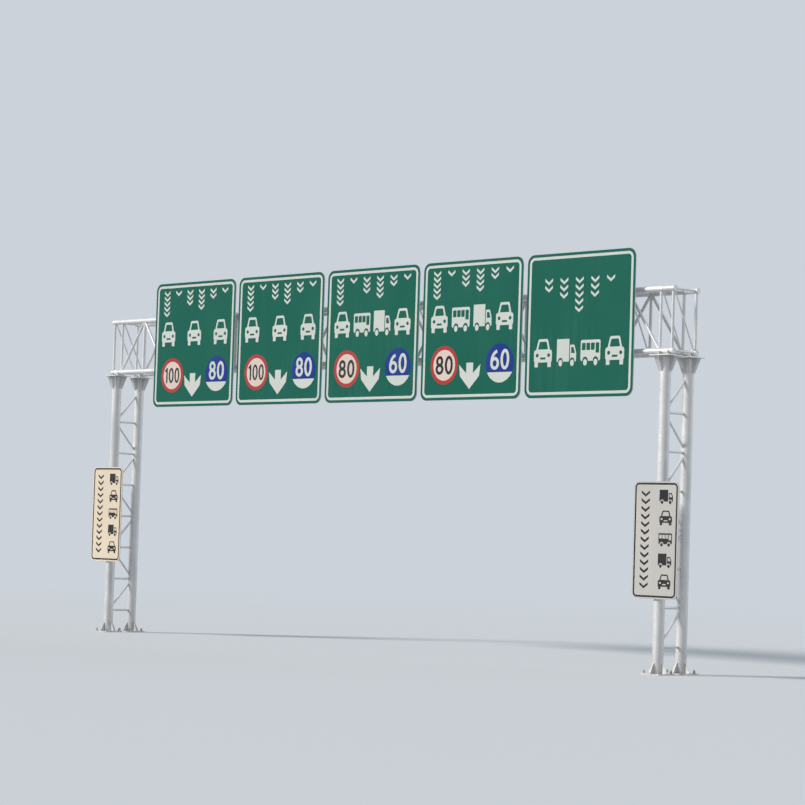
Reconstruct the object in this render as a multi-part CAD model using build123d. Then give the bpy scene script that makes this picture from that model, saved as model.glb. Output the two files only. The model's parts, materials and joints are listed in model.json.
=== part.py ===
from build123d import *
import os
from math import sqrt

# Overhead sign gantry over a carriageway, in millimetres.
# X runs along the gantry, left to right as a driver sees it, the signs face -Y, Z is up.
# The origin is on the ground, in the middle of the gantry's footprint.

# Legs: each one is a front and a rear tube column, laced together
SPAN = 21500
DEPTH = 850
COLUMN_DIAMETER = 273
COLUMN_LENGTH = 7585
BASE_SIDE = 600
BASE_THICKNESS = 30
BASE_RIB_REACH = 140
BASE_RIB_HEIGHT = 250
BASE_RIB_COUNT = 4
ANCHOR_SPACING = 460
ANCHOR_HOLE = 42
CAP_SIDE = 580
CAP_THICKNESS = 20
CAP_RIB_REACH = 150
CAP_RIB_HEIGHT = 370
CAP_RIB_COUNT = 8
RIB_THICKNESS = 12
RIB_TOE = 20
LEG_BAYS = 7
LEG_BAY_HEIGHT = 935
LEG_LACING_DROP = 420
LEG_BAR = 60
LEG_BAR_SIDES = 4

# Box truss of four tube chords
CHORD_DIAMETER = 140
CHORD_SIDES = 8
CHORD_OVERHANG = 60
TRUSS_HEIGHT = 1500
BAY_COUNT = 20
END_BAY = 380
WEB_BAR = 76
WEB_BAR_SIDES = 6
PLAN_BAR = 57
PLAN_BAR_SIDES = 4
BRACE_BAR = 40
BRACE_BAR_SIDES = 4
SEAT_LENGTH = 420
SEAT_WIDTH = 300
SEAT_THICKNESS = 20
SEAT_GAP = 15
CRADLE_WIDTH = 220
CRADLE_THICKNESS = 12
CRADLE_SPACING = 260
SPLICE_BAYS = 3
SPLICE_OFFSET = 300
SPLICE_DIAMETER = 240
SPLICE_THICKNESS = 16

# Main signs
PANEL_COUNT = 5
PANEL_WIDTH = 3600
PANEL_HEIGHT = 3600
PANEL_GAP = 150
PANEL_ROW_SHIFT = 660
PANEL_DROP = 1090
PANEL_CORNER = 220
SHEET = 3
RETURN_DEPTH = 25
RAIL_COUNT = 6
RAIL_HEIGHT = 80
RAIL_DEPTH = 50
RAIL_WALL = 4
RAIL_LIP = 22
RAIL_END_GAP = 90
RAIL_EDGE_GAP = 200
POST_INSET = 800
POST_FLANGE = 74
POST_DEPTH = 120
POST_WEB = 5
POST_FLANGE_THICKNESS = 8
POST_END_GAP = 120
SADDLE_GAP = 30
SADDLE_WIDTH = 90
SADDLE_HEIGHT = 130
NODE_CLEARANCE = 180

# Tall signs on the legs
LEG_SIGN_WIDTH = 1400
LEG_SIGN_HEIGHT = 2800
LEG_SIGN_LEFT_BOTTOM = 2100
LEG_SIGN_RIGHT_BOTTOM = 1800
LEG_SIGN_CORNER = 150
LEG_RAIL_COUNT = 4
LEG_RAIL_EDGE_GAP = 200
CLAMP_HEIGHT = 60
CLAMP_WIDTH = 110
CLAMP_GAP = 20
CLAMP_CLEARANCE = 10

# Heights and places worked out from the sizes above
COLUMN_RADIUS = COLUMN_DIAMETER / 2
CHORD_RADIUS = CHORD_DIAMETER / 2
COLUMN_TOP = BASE_THICKNESS + COLUMN_LENGTH
SEAT_BOTTOM = COLUMN_TOP + CAP_THICKNESS
LOW_CHORD_Z = SEAT_BOTTOM + SEAT_THICKNESS + SEAT_GAP + CHORD_RADIUS
HIGH_CHORD_Z = LOW_CHORD_Z + TRUSS_HEIGHT
PANEL_BOTTOM = LOW_CHORD_Z - PANEL_DROP
FRONT_REACH = CHORD_RADIUS + SADDLE_GAP + POST_DEPTH + RAIL_DEPTH + SHEET
FRONT_Y = (FRONT_REACH - DEPTH - BASE_SIDE / 2) / 2
REAR_Y = FRONT_Y + DEPTH
PANEL_FACE_Y = FRONT_Y - FRONT_REACH
LEFT_X = -SPAN / 2
RIGHT_X = SPAN / 2
BAY = (SPAN - END_BAY) / BAY_COUNT
NODES_X = [LEFT_X + END_BAY / 2 + BAY * i for i in range(BAY_COUNT + 1)]
END_FRAMES_X = [LEFT_X - END_BAY / 2, RIGHT_X + END_BAY / 2]
STATIONS_X = [END_FRAMES_X[0], *NODES_X, END_FRAMES_X[1]]
TRUSS_END_X = RIGHT_X + END_BAY / 2 + CHORD_OVERHANG
SPLICE_X = SPLICE_BAYS * BAY - SPLICE_OFFSET
PANEL_PITCH = PANEL_WIDTH + PANEL_GAP
LEG_LEVELS = [COLUMN_TOP - LEG_LACING_DROP - LEG_BAY_HEIGHT * i for i in range(LEG_BAYS + 1)]
SIDES_X = {"left": LEFT_X, "right": RIGHT_X}
ROWS_Y = {"front": FRONT_Y, "rear": REAR_Y}


def save(name, *solids):
    """Write the solids of one node to its own STEP file."""
    os.makedirs("parts", exist_ok=True)
    shape = solids[0] if len(solids) == 1 else Compound(children=list(solids))
    export_step(shape, "parts/" + name + ".step")


def bar(start, end, width, sides, flat_towards):
    """A straight bar of few sides between two work points, one flat turned to a direction."""
    run = Vector(*end) - Vector(*start)
    plane = Plane(origin=start, z_dir=run, x_dir=flat_towards)
    outline = RegularPolygon(width / 2, sides, major_radius=False)
    turned = Rotation(0, 0, 180 / sides) * outline
    return extrude(plane * turned, run.length)


def fused(shapes):
    """All the shapes as one."""
    return shapes[0].fuse(*shapes[1:])


def clear_of(place, obstacles, clearance, limits):
    """The place, or the nearest one within the limits that clears its closest obstacle."""
    nearest = min(obstacles, key=lambda obstacle: abs(obstacle - place))
    if abs(nearest - place) >= clearance:
        return place
    choices = [nearest - clearance, nearest + clearance]
    outside = [not limits[0] <= choice <= limits[1] for choice in choices]
    return min(zip(outside, [abs(choice - place) for choice in choices], choices))[2]


def clamp_level(level, limits):
    """The level of a sign's clamp on a front column, where its strap clears the leg lacing."""
    slope = LEG_BAY_HEIGHT / DEPTH
    half_bar = LEG_BAR / 2 * sqrt(1 + slope**2)
    diagonal_reach = COLUMN_RADIUS * slope + half_bar
    room = CLAMP_HEIGHT / 2 + CLAMP_CLEARANCE
    level = clear_of(level, LEG_LEVELS[0::2], LEG_BAR / 2 + room, limits)
    return clear_of(level, LEG_LEVELS[1::2], diagonal_reach + room, limits)


def ring_of_ribs(inner_radius, reach, height, count):
    """Upright triangular ribs round a column, standing on Z = 0, each with a blunt toe."""
    outline = Polyline(
        (inner_radius / 2, 0),
        (inner_radius + reach, 0),
        (inner_radius + reach, RIB_TOE),
        (inner_radius + RIB_TOE, height),
        (inner_radius / 2, height),
        close=True,
    )
    rib = extrude(Plane.XZ * make_face(outline), RIB_THICKNESS / 2, both=True)
    ribs = [Rotation(0, 0, 360 / count * i) * rib for i in range(count)]
    bore = extrude(Circle(inner_radius), height)
    return fused(ribs) - bore


def column():
    """A round column, closed at both ends, that stands on its base plate."""
    return Pos(0, 0, BASE_THICKNESS) * extrude(Circle(COLUMN_RADIUS), COLUMN_LENGTH)


def base_plate():
    """A base plate with an anchor hole at each corner, and the ribs that stiffen the foot."""
    anchors = GridLocations(ANCHOR_SPACING, ANCHOR_SPACING, 2, 2)
    outline = Rectangle(BASE_SIDE, BASE_SIDE) - anchors * Circle(ANCHOR_HOLE / 2)
    plate = extrude(outline, BASE_THICKNESS)
    ribs = ring_of_ribs(COLUMN_RADIUS, BASE_RIB_REACH, BASE_RIB_HEIGHT, BASE_RIB_COUNT)
    return plate + Pos(0, 0, BASE_THICKNESS) * ribs


def cap_plate():
    """The plate that closes a column, with the ribs that carry it, hanging under it."""
    plate = Pos(0, 0, COLUMN_TOP) * extrude(Rectangle(CAP_SIDE, CAP_SIDE), CAP_THICKNESS)
    ribs = ring_of_ribs(COLUMN_RADIUS, CAP_RIB_REACH, CAP_RIB_HEIGHT, CAP_RIB_COUNT)
    return plate + Pos(0, 0, COLUMN_TOP) * Rotation(180, 0, 0) * ribs


def leg_lacing():
    """Struts and zigzag diagonals between the front and rear column, coped to both tubes."""
    rows = [REAR_Y, FRONT_Y]
    bars = []
    for level, (upper, lower) in enumerate(zip(LEG_LEVELS, LEG_LEVELS[1:])):
        near, far = rows[level % 2], rows[1 - level % 2]
        for start, end in (((0, near, upper), (0, far, lower)), ((0, far, lower), (0, near, lower))):
            bars.append(bar(start, end, LEG_BAR, LEG_BAR_SIDES, (1, 0, 0)))
    columns = [Pos(0, y, 0) * extrude(Circle(COLUMN_RADIUS), COLUMN_TOP) for y in rows]
    return fused(bars) - fused(columns)


def chord_prism(start_x, end_x, diameter):
    """An eight-sided length of chord or flange along X, with a flat towards each lacing plane."""
    return bar((start_x, 0, 0), (end_x, 0, 0), diameter, CHORD_SIDES, (0, 0, 1))


def chord_tool(y, z):
    """The whole length of a chord, for coping what is welded to it."""
    return Pos(0, y, z) * chord_prism(-TRUSS_END_X, TRUSS_END_X, CHORD_DIAMETER)


def chord_section(start_x, end_x, start_flanged, end_flanged):
    """One length of chord along X, with a splice flange at each end that is bolted on."""
    section = chord_prism(start_x, end_x, CHORD_DIAMETER)
    if start_flanged:
        section = section + chord_prism(start_x, start_x + SPLICE_THICKNESS, SPLICE_DIAMETER)
    if end_flanged:
        section = section + chord_prism(end_x - SPLICE_THICKNESS, end_x, SPLICE_DIAMETER)
    return section


def truss_seat():
    """A bolted seat plate with two cradle ribs that carry a low chord over a column's axis."""
    seat_top = SEAT_BOTTOM + SEAT_THICKNESS
    seat = extrude(Rectangle(SEAT_LENGTH, SEAT_WIDTH), SEAT_THICKNESS)
    cradle = extrude(Rectangle(CRADLE_THICKNESS, CRADLE_WIDTH), SEAT_GAP + CHORD_RADIUS)
    places = [Pos(side * CRADLE_SPACING / 2, 0, seat_top) for side in (-1, 1)]
    return Pos(0, 0, SEAT_BOTTOM) * seat + [place * cradle for place in places]


def chord(y, z, seated):
    """A chord in three lengths, flanged where they are bolted together."""
    lengths = [
        chord_section(-TRUSS_END_X, -SPLICE_X, False, True),
        chord_section(-SPLICE_X, SPLICE_X, True, True),
        chord_section(SPLICE_X, TRUSS_END_X, True, False),
    ]
    lengths = [Pos(0, y, z) * length for length in lengths]
    if seated:
        seat = Pos(0, y, 0) * truss_seat() - chord_tool(y, z)
        lengths[0] = lengths[0] + Pos(LEFT_X, 0, 0) * seat
        lengths[2] = lengths[2] + Pos(RIGHT_X, 0, 0) * seat
    return lengths


def web(y):
    """Verticals at every station and alternating diagonals between the nodes of one tall side."""
    flat = (0, 1, 0)
    levels = [LOW_CHORD_Z, HIGH_CHORD_Z]
    spans = [((x, y, levels[0]), (x, y, levels[1])) for x in STATIONS_X]
    for i, (start_x, end_x) in enumerate(zip(NODES_X, NODES_X[1:])):
        spans.append(((start_x, y, levels[i % 2]), (end_x, y, levels[1 - i % 2])))
    bars = [bar(start, end, WEB_BAR, WEB_BAR_SIDES, flat) for start, end in spans]
    return fused(bars) - chord_tool(y, LOW_CHORD_Z) - chord_tool(y, HIGH_CHORD_Z)


def plan_lacing(z):
    """Struts at every station and alternating diagonals across the truss, at one chord level."""
    flat = (0, 0, 1)
    rows = [FRONT_Y, REAR_Y]
    spans = [((x, rows[0], z), (x, rows[1], z)) for x in STATIONS_X]
    for i, (start_x, end_x) in enumerate(zip(NODES_X, NODES_X[1:])):
        spans.append(((start_x, rows[i % 2], z), (end_x, rows[1 - i % 2], z)))
    bars = [bar(start, end, PLAN_BAR, PLAN_BAR_SIDES, flat) for start, end in spans]
    return fused(bars) - chord_tool(FRONT_Y, z) - chord_tool(REAR_Y, z)


def cross_braces(front_web, rear_web):
    """One diagonal across the truss at each station, coped to the chords beside both webs."""
    aside = (WEB_BAR / 2 + CHORD_RADIUS) / 2
    inward = CHORD_RADIUS * sqrt(2) - aside
    front = Vector(0, FRONT_Y + aside, HIGH_CHORD_Z - inward)
    rear = Vector(0, REAR_Y - aside, LOW_CHORD_Z + inward)
    stub = (rear - front).normalized() * BRACE_BAR
    brace = bar(front - stub, rear + stub, BRACE_BAR, BRACE_BAR_SIDES, (1, 0, 0))
    braces = [Pos(x, 0, 0) * brace for x in STATIONS_X]
    tools = [chord_tool(FRONT_Y, HIGH_CHORD_Z), chord_tool(REAR_Y, LOW_CHORD_Z)]
    return Compound(children=braces).cut(*tools, front_web, rear_web).solids()


def tray(width, height, corner):
    """A sign sheet, face on Y = 0 and lower edge on Z = 0, its straight edges folded back."""
    face = Plane.XZ * Pos(0, height / 2) * RectangleRounded(width, height, corner)
    sheet = extrude(face, -SHEET)
    fold_y = (SHEET + RETURN_DEPTH) / 2
    for side in (-1, 1):
        upright = Box(SHEET, RETURN_DEPTH - SHEET, height - 2 * corner)
        level = Box(width - 2 * corner, RETURN_DEPTH - SHEET, SHEET)
        sheet = sheet + Pos(side * (width - SHEET) / 2, fold_y, height / 2) * upright
        sheet = sheet + Pos(0, fold_y, height / 2 + side * (height - SHEET) / 2) * level
    return sheet


def rail(length):
    """A slotted extrusion along X: its back, at Y = 0, is open between two lips for the bolts."""
    outer = Rectangle(RAIL_DEPTH, RAIL_HEIGHT)
    hollow = Rectangle(RAIL_DEPTH - 2 * RAIL_WALL, RAIL_HEIGHT - 2 * RAIL_WALL)
    slot = Pos(RAIL_DEPTH / 2, 0) * Rectangle(RAIL_DEPTH, RAIL_HEIGHT - 2 * RAIL_LIP)
    section = Pos(-RAIL_DEPTH / 2, 0) * (outer - hollow - slot)
    return extrude(Plane.YZ * section, length / 2, both=True)


def rail_levels(height, edge_gap, count):
    """Heights of evenly spaced rails above a sign's lower edge."""
    step = (height - 2 * edge_gap) / (count - 1)
    return [edge_gap + step * i for i in range(count)]


def post(x):
    """A rolled I-post behind a sign, with a saddle block seated on each front chord."""
    back_y = FRONT_Y - CHORD_RADIUS - SADDLE_GAP
    length = PANEL_HEIGHT - 2 * POST_END_GAP
    outer = Rectangle(POST_FLANGE, POST_DEPTH)
    side = Rectangle((POST_FLANGE - POST_WEB) / 2, POST_DEPTH - 2 * POST_FLANGE_THICKNESS)
    offset = (POST_FLANGE + POST_WEB) / 4
    section = outer - Pos(offset, 0) * side - Pos(-offset, 0) * side
    foot = Pos(x, back_y - POST_DEPTH / 2, PANEL_BOTTOM + POST_END_GAP)
    shape = foot * extrude(section, length)
    for z in (LOW_CHORD_Z, HIGH_CHORD_Z):
        block = Box(SADDLE_WIDTH, SADDLE_GAP + CHORD_RADIUS, SADDLE_HEIGHT)
        seat = Pos(x, back_y + (SADDLE_GAP + CHORD_RADIUS) / 2, z) * block
        shape = shape + (seat - chord_tool(FRONT_Y, z))
    return shape


def panel_centre(index):
    """The place along X of a main sign's middle."""
    return PANEL_ROW_SHIFT + PANEL_PITCH * (index - (PANEL_COUNT - 1) / 2)


def main_sign(index):
    """The sheet, the rails and the posts of one main sign."""
    middle = panel_centre(index)
    place = Pos(middle, PANEL_FACE_Y, PANEL_BOTTOM)
    sheet = place * tray(PANEL_WIDTH, PANEL_HEIGHT, PANEL_CORNER)
    extrusion = rail(PANEL_WIDTH - 2 * RAIL_END_GAP)
    levels = rail_levels(PANEL_HEIGHT, RAIL_EDGE_GAP, RAIL_COUNT)
    rails = [place * Pos(0, SHEET + RAIL_DEPTH, level) * extrusion for level in levels]
    half = PANEL_WIDTH / 2 - POST_INSET
    limits = middle - PANEL_WIDTH / 2, middle + PANEL_WIDTH / 2
    places = [clear_of(middle + side * half, NODES_X, NODE_CLEARANCE, limits) for side in (-1, 1)]
    return sheet, rails, [post(x) for x in places]


def clamp(back_y):
    """A block with its back coped to the column's front and its flat front at back_y."""
    block = Pos(0, back_y / 2) * Rectangle(CLAMP_WIDTH, -back_y)
    return extrude(block - Circle(COLUMN_RADIUS), CLAMP_HEIGHT / 2, both=True)


def leg_sign(bottom):
    """The sheet, the rails and the clamps of one tall sign, around a column's axis."""
    back_y = -COLUMN_RADIUS - CLAMP_GAP
    levels = rail_levels(LEG_SIGN_HEIGHT, LEG_RAIL_EDGE_GAP, LEG_RAIL_COUNT)
    limits = bottom + RAIL_HEIGHT, bottom + LEG_SIGN_HEIGHT - RAIL_HEIGHT
    levels = [clamp_level(bottom + level, limits) for level in levels]
    face = Pos(0, back_y - RAIL_DEPTH - SHEET, bottom)
    sheet = face * tray(LEG_SIGN_WIDTH, LEG_SIGN_HEIGHT, LEG_SIGN_CORNER)
    extrusion = rail(LEG_SIGN_WIDTH - 2 * RAIL_END_GAP)
    rails = [Pos(0, back_y, level) * extrusion for level in levels]
    clamps = [Pos(0, 0, level) * clamp(back_y) for level in levels]
    return sheet, rails, clamps


foot, shaft, head = base_plate(), column(), cap_plate()
for side, x in SIDES_X.items():
    save("leg_lacing_" + side, Pos(x, 0, 0) * leg_lacing())
    for row, y in ROWS_Y.items():
        place = Pos(x, y, 0)
        save("base_plate_" + side + "_" + row, place * foot)
        save("column_" + side + "_" + row, place * shaft)
        save("cap_plate_" + side + "_" + row, place * head)

for row, y in ROWS_Y.items():
    save("chord_low_" + row, *chord(y, LOW_CHORD_Z, True))
    save("chord_high_" + row, *chord(y, HIGH_CHORD_Z, False))

front_web, rear_web = web(FRONT_Y), web(REAR_Y)
save("web_front", front_web)
save("web_rear", rear_web)
save("plan_lacing_low", plan_lacing(LOW_CHORD_Z))
save("plan_lacing_high", plan_lacing(HIGH_CHORD_Z))
save("cross_braces", *cross_braces(front_web, rear_web))

for index in range(PANEL_COUNT):
    sheet, rails, posts = main_sign(index)
    number = str(index + 1)
    save("sign_panel_" + number, sheet)
    save("sign_rails_" + number, *rails)
    save("sign_posts_" + number, *posts)

for side, bottom in (("left", LEG_SIGN_LEFT_BOTTOM), ("right", LEG_SIGN_RIGHT_BOTTOM)):
    place = Pos(SIDES_X[side], FRONT_Y, 0)
    sheet, rails, clamps = leg_sign(bottom)
    save("leg_sign_" + side, place * sheet)
    save("leg_sign_rails_" + side, *[place * piece for piece in rails])
    save("leg_sign_clamps_" + side, *[place * piece for piece in clamps])
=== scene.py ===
# %% [markdown]
# # Overhead sign gantry
#
# The real thing is a portal over a carriageway. Two legs, each a pair of round columns laced
# together, carry a box truss of welded tube. Five square green signs hang in a row on its front, and
# a tall white sign hangs on each leg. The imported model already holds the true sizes, so it is loaded
# first as a fixed frame, and everything made here is placed from it. Distances are in metres.

# %% Load the frame
import json
from collections import namedtuple
from math import pi, radians, sqrt

import bpy
import numpy as np
from mathutils import Matrix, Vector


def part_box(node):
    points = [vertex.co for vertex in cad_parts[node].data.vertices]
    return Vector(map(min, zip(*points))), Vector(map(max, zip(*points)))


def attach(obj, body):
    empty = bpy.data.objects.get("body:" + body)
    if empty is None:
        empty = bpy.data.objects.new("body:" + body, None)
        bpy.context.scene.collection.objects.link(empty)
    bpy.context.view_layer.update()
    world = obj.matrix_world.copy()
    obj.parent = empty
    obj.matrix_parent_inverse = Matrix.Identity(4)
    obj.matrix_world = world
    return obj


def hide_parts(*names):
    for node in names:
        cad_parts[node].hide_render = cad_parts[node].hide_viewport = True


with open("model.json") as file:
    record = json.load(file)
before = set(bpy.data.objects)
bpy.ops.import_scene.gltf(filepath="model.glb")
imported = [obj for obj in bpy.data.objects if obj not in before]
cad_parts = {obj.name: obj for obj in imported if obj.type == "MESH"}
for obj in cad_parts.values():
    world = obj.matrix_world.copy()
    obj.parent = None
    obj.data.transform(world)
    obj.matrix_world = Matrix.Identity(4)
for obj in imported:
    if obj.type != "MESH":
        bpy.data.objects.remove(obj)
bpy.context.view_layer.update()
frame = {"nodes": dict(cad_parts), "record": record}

# %% [markdown]
# ## Sizes
#
# Most places can be read from the boxes of the frame's nodes. What a box doesn't tell, such as the
# radius of a lattice tube or the number of bays, is written down once, here.

# %% Sizes and places of the steelwork
CHORD_RADIUS = 0.07
TRUSS_HEIGHT = 1.5
BAY_COUNT = 20
END_BAY = 0.38
SPLICE_RADIUS = 0.12
SPLICE_THICKNESS = 0.016
SPLICE_BAYS = 3
SPLICE_OFFSET = 0.3
WEB_RADIUS = 0.038
PLAN_RADIUS = 0.0285
BRACE_RADIUS = 0.02
LEG_BAR_RADIUS = 0.03
LEG_BAYS = 7
LEG_BAY_HEIGHT = 0.935
LEG_LACING_DROP = 0.42
BASE_THICKNESS = 0.03
CAP_THICKNESS = 0.02


def middle(node):
    """The middle of a node's box: half the sum of its two corners."""
    low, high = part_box(node)
    return (low + high) / 2


COLUMN_LOW, COLUMN_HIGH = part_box("column_left_front")
COLUMN_RADIUS = (COLUMN_HIGH.x - COLUMN_LOW.x) / 2
LEG_X = {side: middle("column_" + side + "_front").x for side in ("left", "right")}
ROW_Y = {row: middle("column_left_" + row).y for row in ("front", "rear")}
LEGS, ROWS = list(LEG_X.values()), list(ROW_Y.values())
FRONT, REAR = ROWS
HIGH_Z = middle("chord_high_front").z
LOW_Z = HIGH_Z - TRUSS_HEIGHT
TRUSS_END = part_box("chord_high_front")[1].x
BAY = (LEGS[1] - LEGS[0] - END_BAY) / BAY_COUNT
SPLICE_X = SPLICE_BAYS * BAY - SPLICE_OFFSET
NODE_X = LEGS[0] + END_BAY / 2 + BAY * np.arange(BAY_COUNT + 1)
STATION_X = np.array([LEGS[0] - END_BAY / 2, *NODE_X, LEGS[1] + END_BAY / 2])
print("legs at", LEG_X, "rows at", ROW_Y, "chords at", LOW_Z, HIGH_Z, "bay", BAY)

# %% [markdown]
# ## Shapes as arrays
#
# A mesh is a list of points and a list of faces that number them. Modelling operators would make the
# thousands of small parts of a lattice slow and hard to repeat. So a shape here is three arrays:
# points, four-sided faces and three-sided faces. A function works out a whole family of parts at once.

# %% Points and directions
def unit(vectors):
    """Vectors divided by their lengths, along the last axis."""
    return vectors / np.linalg.norm(vectors, axis=-1, keepdims=True)


def points_of(*columns):
    """Points from columns of x, y and z, where a single number fills a whole column."""
    return np.column_stack(np.broadcast_arrays(*columns))


def grid_of(*axes):
    """Every combination of the values given for x, y and z, as rows of points."""
    return np.stack(np.meshgrid(*axes, indexing="ij"), axis=-1).reshape(-1, 3)


def either_side(values, distance):
    """Two places for each value: the distance below it, and above it."""
    return [value + side * distance for value in values for side in (-1, 1)]


def spokes(count, start=0.0):
    """Directions (cos a, sin a, 0), evenly round Z, the first one turned by a share of a step."""
    angle = (np.arange(count) + start) * 2 * pi / count
    return points_of(np.cos(angle), np.sin(angle), 0)


def in_plan(flat, height):
    """A flat path laid level, at a height."""
    return points_of(*flat.T, height)


def on_face(flat, depth):
    """A flat path set upright as on a sign's face, at a depth along Y."""
    return points_of(flat[:, 0], depth, flat[:, 1])


# %% Closed shapes from rings of points
Shape = namedtuple("Shape", "points quads tris")
EDGE = 0.0015
CORNER_STEPS = 18


def joined(shapes):
    """Many shapes as one: each one's vertex numbers go up by the number of points before it."""
    shapes = list(shapes)
    offsets = np.cumsum([0] + [len(shape.points) for shape in shapes[:-1]])
    return Shape(
        np.concatenate([shape.points for shape in shapes]),
        np.concatenate([shape.quads + offset for shape, offset in zip(shapes, offsets)]),
        np.concatenate([shape.tris + offset for shape, offset in zip(shapes, offsets)]),
    )


def outward(shape):
    """The shape with its faces turned outwards.
    A closed shape's volume is the sum of a . (b x c) / 6 over its triangles, and it comes out
    negative when the faces look inwards."""
    split = np.concatenate([shape.quads[:, [0, 1, 2]], shape.quads[:, [0, 2, 3]], shape.tris])
    a, b, c = (shape.points[split[:, i]] - shape.points[0] for i in range(3))
    if (a * np.cross(b, c)).sum() < 0:
        return Shape(shape.points, shape.quads[:, ::-1], shape.tris[:, ::-1])
    return shape


def loft(rings, closed=False, hubs=None):
    """Tubes of rings of points, from an array (tubes, rings, points round, 3).
    Neighbouring rings are joined by quads. An open tube's ends are fans of triangles round hubs,
    the middles of its end rings if none are given; a closed one's last ring joins its first."""
    rings = np.asarray(rings, float)
    rings = rings[None] if rings.ndim == 3 else rings
    index = np.arange(rings[..., 0].size).reshape(rings.shape[:3])
    along = np.concatenate([index, index[:, :1]], axis=1) if closed else index
    beside = np.roll(along, -1, axis=2)
    corners = [along[:, :-1], beside[:, :-1], beside[:, 1:], along[:, 1:]]
    quads = np.stack(corners, axis=-1).reshape(-1, 4)
    points = rings.reshape(-1, 3)
    if closed:
        return outward(Shape(points, quads, np.empty((0, 3), int)))
    hubs = rings[:, [0, -1]].mean(axis=2) if hubs is None else np.asarray(hubs, float)[None]
    hub_index = len(points) + np.arange(len(rings) * 2).reshape(-1, 2)
    first, last = index[:, 0], index[:, -1]
    start_hub = np.broadcast_to(hub_index[:, :1], first.shape)
    end_hub = np.broadcast_to(hub_index[:, 1:], last.shape)
    fans = [
        np.stack([np.roll(first, -1, axis=1), first, start_hub], axis=-1),
        np.stack([last, np.roll(last, -1, axis=1), end_hub], axis=-1),
    ]
    tris = np.concatenate([fan.reshape(-1, 3) for fan in fans])
    return outward(Shape(np.concatenate([points, hubs.reshape(-1, 3)]), quads, tris))


# %% Turned, swept and bevelled shapes
def turned(profile, sides):
    """A shape as a lathe turns it about Z: the ring at height z has the points
    (r cos a, r sin a, z), for a profile of pairs (r, z)."""
    radius, height = np.array(profile, float).T[:, :, None, None]
    return loft(radius * spokes(sides) + height * [0, 0, 1])


def rod(path, first, second, radius, sides, closed=False):
    """A round rod along paths: at each point p the circle p + r (cos a first + sin a second)."""
    circle = spokes(sides)
    rings = circle[:, :1] * first[..., None, :] + circle[:, 1:2] * second[..., None, :]
    return loft(path[..., None, :] + radius * rings, closed)


def ribbon(path, width, levels, lay, closed=False):
    """A bar of rectangular section along a flat path, which is moved half the width to either side
    of itself, at two levels. lay is in_plan or on_face."""
    along = np.roll(path, -1, axis=0) - np.roll(path, 1, axis=0) if closed else np.gradient(path, axis=0)
    aside = unit(np.column_stack([-along[:, 1], along[:, 0]])) * width / 2
    near, far = levels
    corners = [(1, near), (-1, near), (-1, far), (1, far)]
    return loft(np.stack([lay(path + side * aside, level) for side, level in corners], axis=1), closed)


def rounded_rectangle(width, height, inset, radius, steps=CORNER_STEPS):
    """The outline of a rectangle about (0, 0), drawn in on all sides by an inset: a quarter circle
    round each corner's own centre."""
    half = [width / 2 - inset - radius, height / 2 - inset - radius]
    centre = np.repeat(np.array([[1, 1], [-1, 1], [-1, -1], [1, -1]]) * half, steps + 1, axis=0)
    quarter = np.linspace(0, pi / 2, steps + 1)
    angle = np.concatenate([quarter + pi / 2 * corner for corner in range(4)])
    return centre + radius * np.stack([np.cos(angle), np.sin(angle)], axis=1)


def block(wide, deep, tall):
    """A box about (0, 0, 0) with bevelled edges: a rounded rectangle, drawn in at both ends."""
    levels = [(EDGE, -tall / 2), (0, EDGE - tall / 2), (0, tall / 2 - EDGE), (EDGE, tall / 2)]
    return loft(np.stack([in_plan(rounded_rectangle(wide, deep, inset, EDGE, 1), z) for inset, z in levels]))


# %% Shapes moved and repeated
def moved(shape, place):
    """The shape moved by a vector."""
    return Shape(shape.points + np.array(place, float), shape.quads, shape.tris)


PARALLEL = 0.99


def turns(axes, towards=(0, 0, 1)):
    """Rotations whose third column is each axis, and whose first is as near as can be to a direction."""
    axes = unit(np.atleast_2d(np.asarray(axes, float)))
    helper = np.where(np.abs(axes @ np.array(towards, float))[:, None] > PARALLEL, [1.0, 0, 0], towards)
    second = unit(np.cross(axes, helper))
    return np.stack([np.cross(second, axes), second, axes], axis=-1)


def copies(shape, places, axis=(0, 0, 1)):
    """Copies of one shape: a copy's points are turn . p + place, with its Z turned to the axis."""
    points = shape.points @ turns(axis)[0].T + np.asarray(places, float)[:, None]
    steps = np.arange(len(places))[:, None, None] * len(shape.points)
    return Shape(
        points.reshape(-1, 3),
        (shape.quads[None] + steps).reshape(-1, 4),
        (shape.tris[None] + steps).reshape(-1, 3),
    )


# %% [markdown]
# A shape becomes a piece in one place, so each gets the same care: its faces are smooth up to a
# 35 degree edge, it rides with the frame, it gets its material, and the nodes of the frame it stands
# for are hidden.

# %% From arrays to a Blender object
SMOOTH_ANGLE = radians(35)
STEEL_SLOT = "galvanised_steel"
made = {}


def placed(name, data):
    """A new object that shows some data, in the scene."""
    thing = bpy.data.objects.new(name, data)
    bpy.context.collection.objects.link(thing)
    return thing


def piece(name, shape, material, replaces=()):
    """Puts a shape's arrays into a mesh and hangs the object on the frame."""
    loops = np.concatenate([shape.quads.ravel(), shape.tris.ravel()])
    sizes = np.repeat([4, 3], [len(shape.quads), len(shape.tris)])
    mesh = bpy.data.meshes.new(name)
    mesh.vertices.add(len(shape.points))
    mesh.vertices.foreach_set("co", shape.points.astype(np.float32).ravel())
    mesh.loops.add(len(loops))
    mesh.loops.foreach_set("vertex_index", loops.astype(np.int32))
    mesh.polygons.add(len(sizes))
    mesh.polygons.foreach_set("loop_start", (np.cumsum(sizes) - sizes).astype(np.int32))
    mesh.update(calc_edges=True)
    mesh.validate()
    mesh.shade_smooth()
    mesh.set_sharp_from_angle(angle=SMOOTH_ANGLE)
    mesh.materials.append(material)
    thing = placed(name, mesh)
    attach(thing, "root")
    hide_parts(*replaces)
    made[name] = 2 * len(shape.quads) + len(shape.tris)


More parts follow.
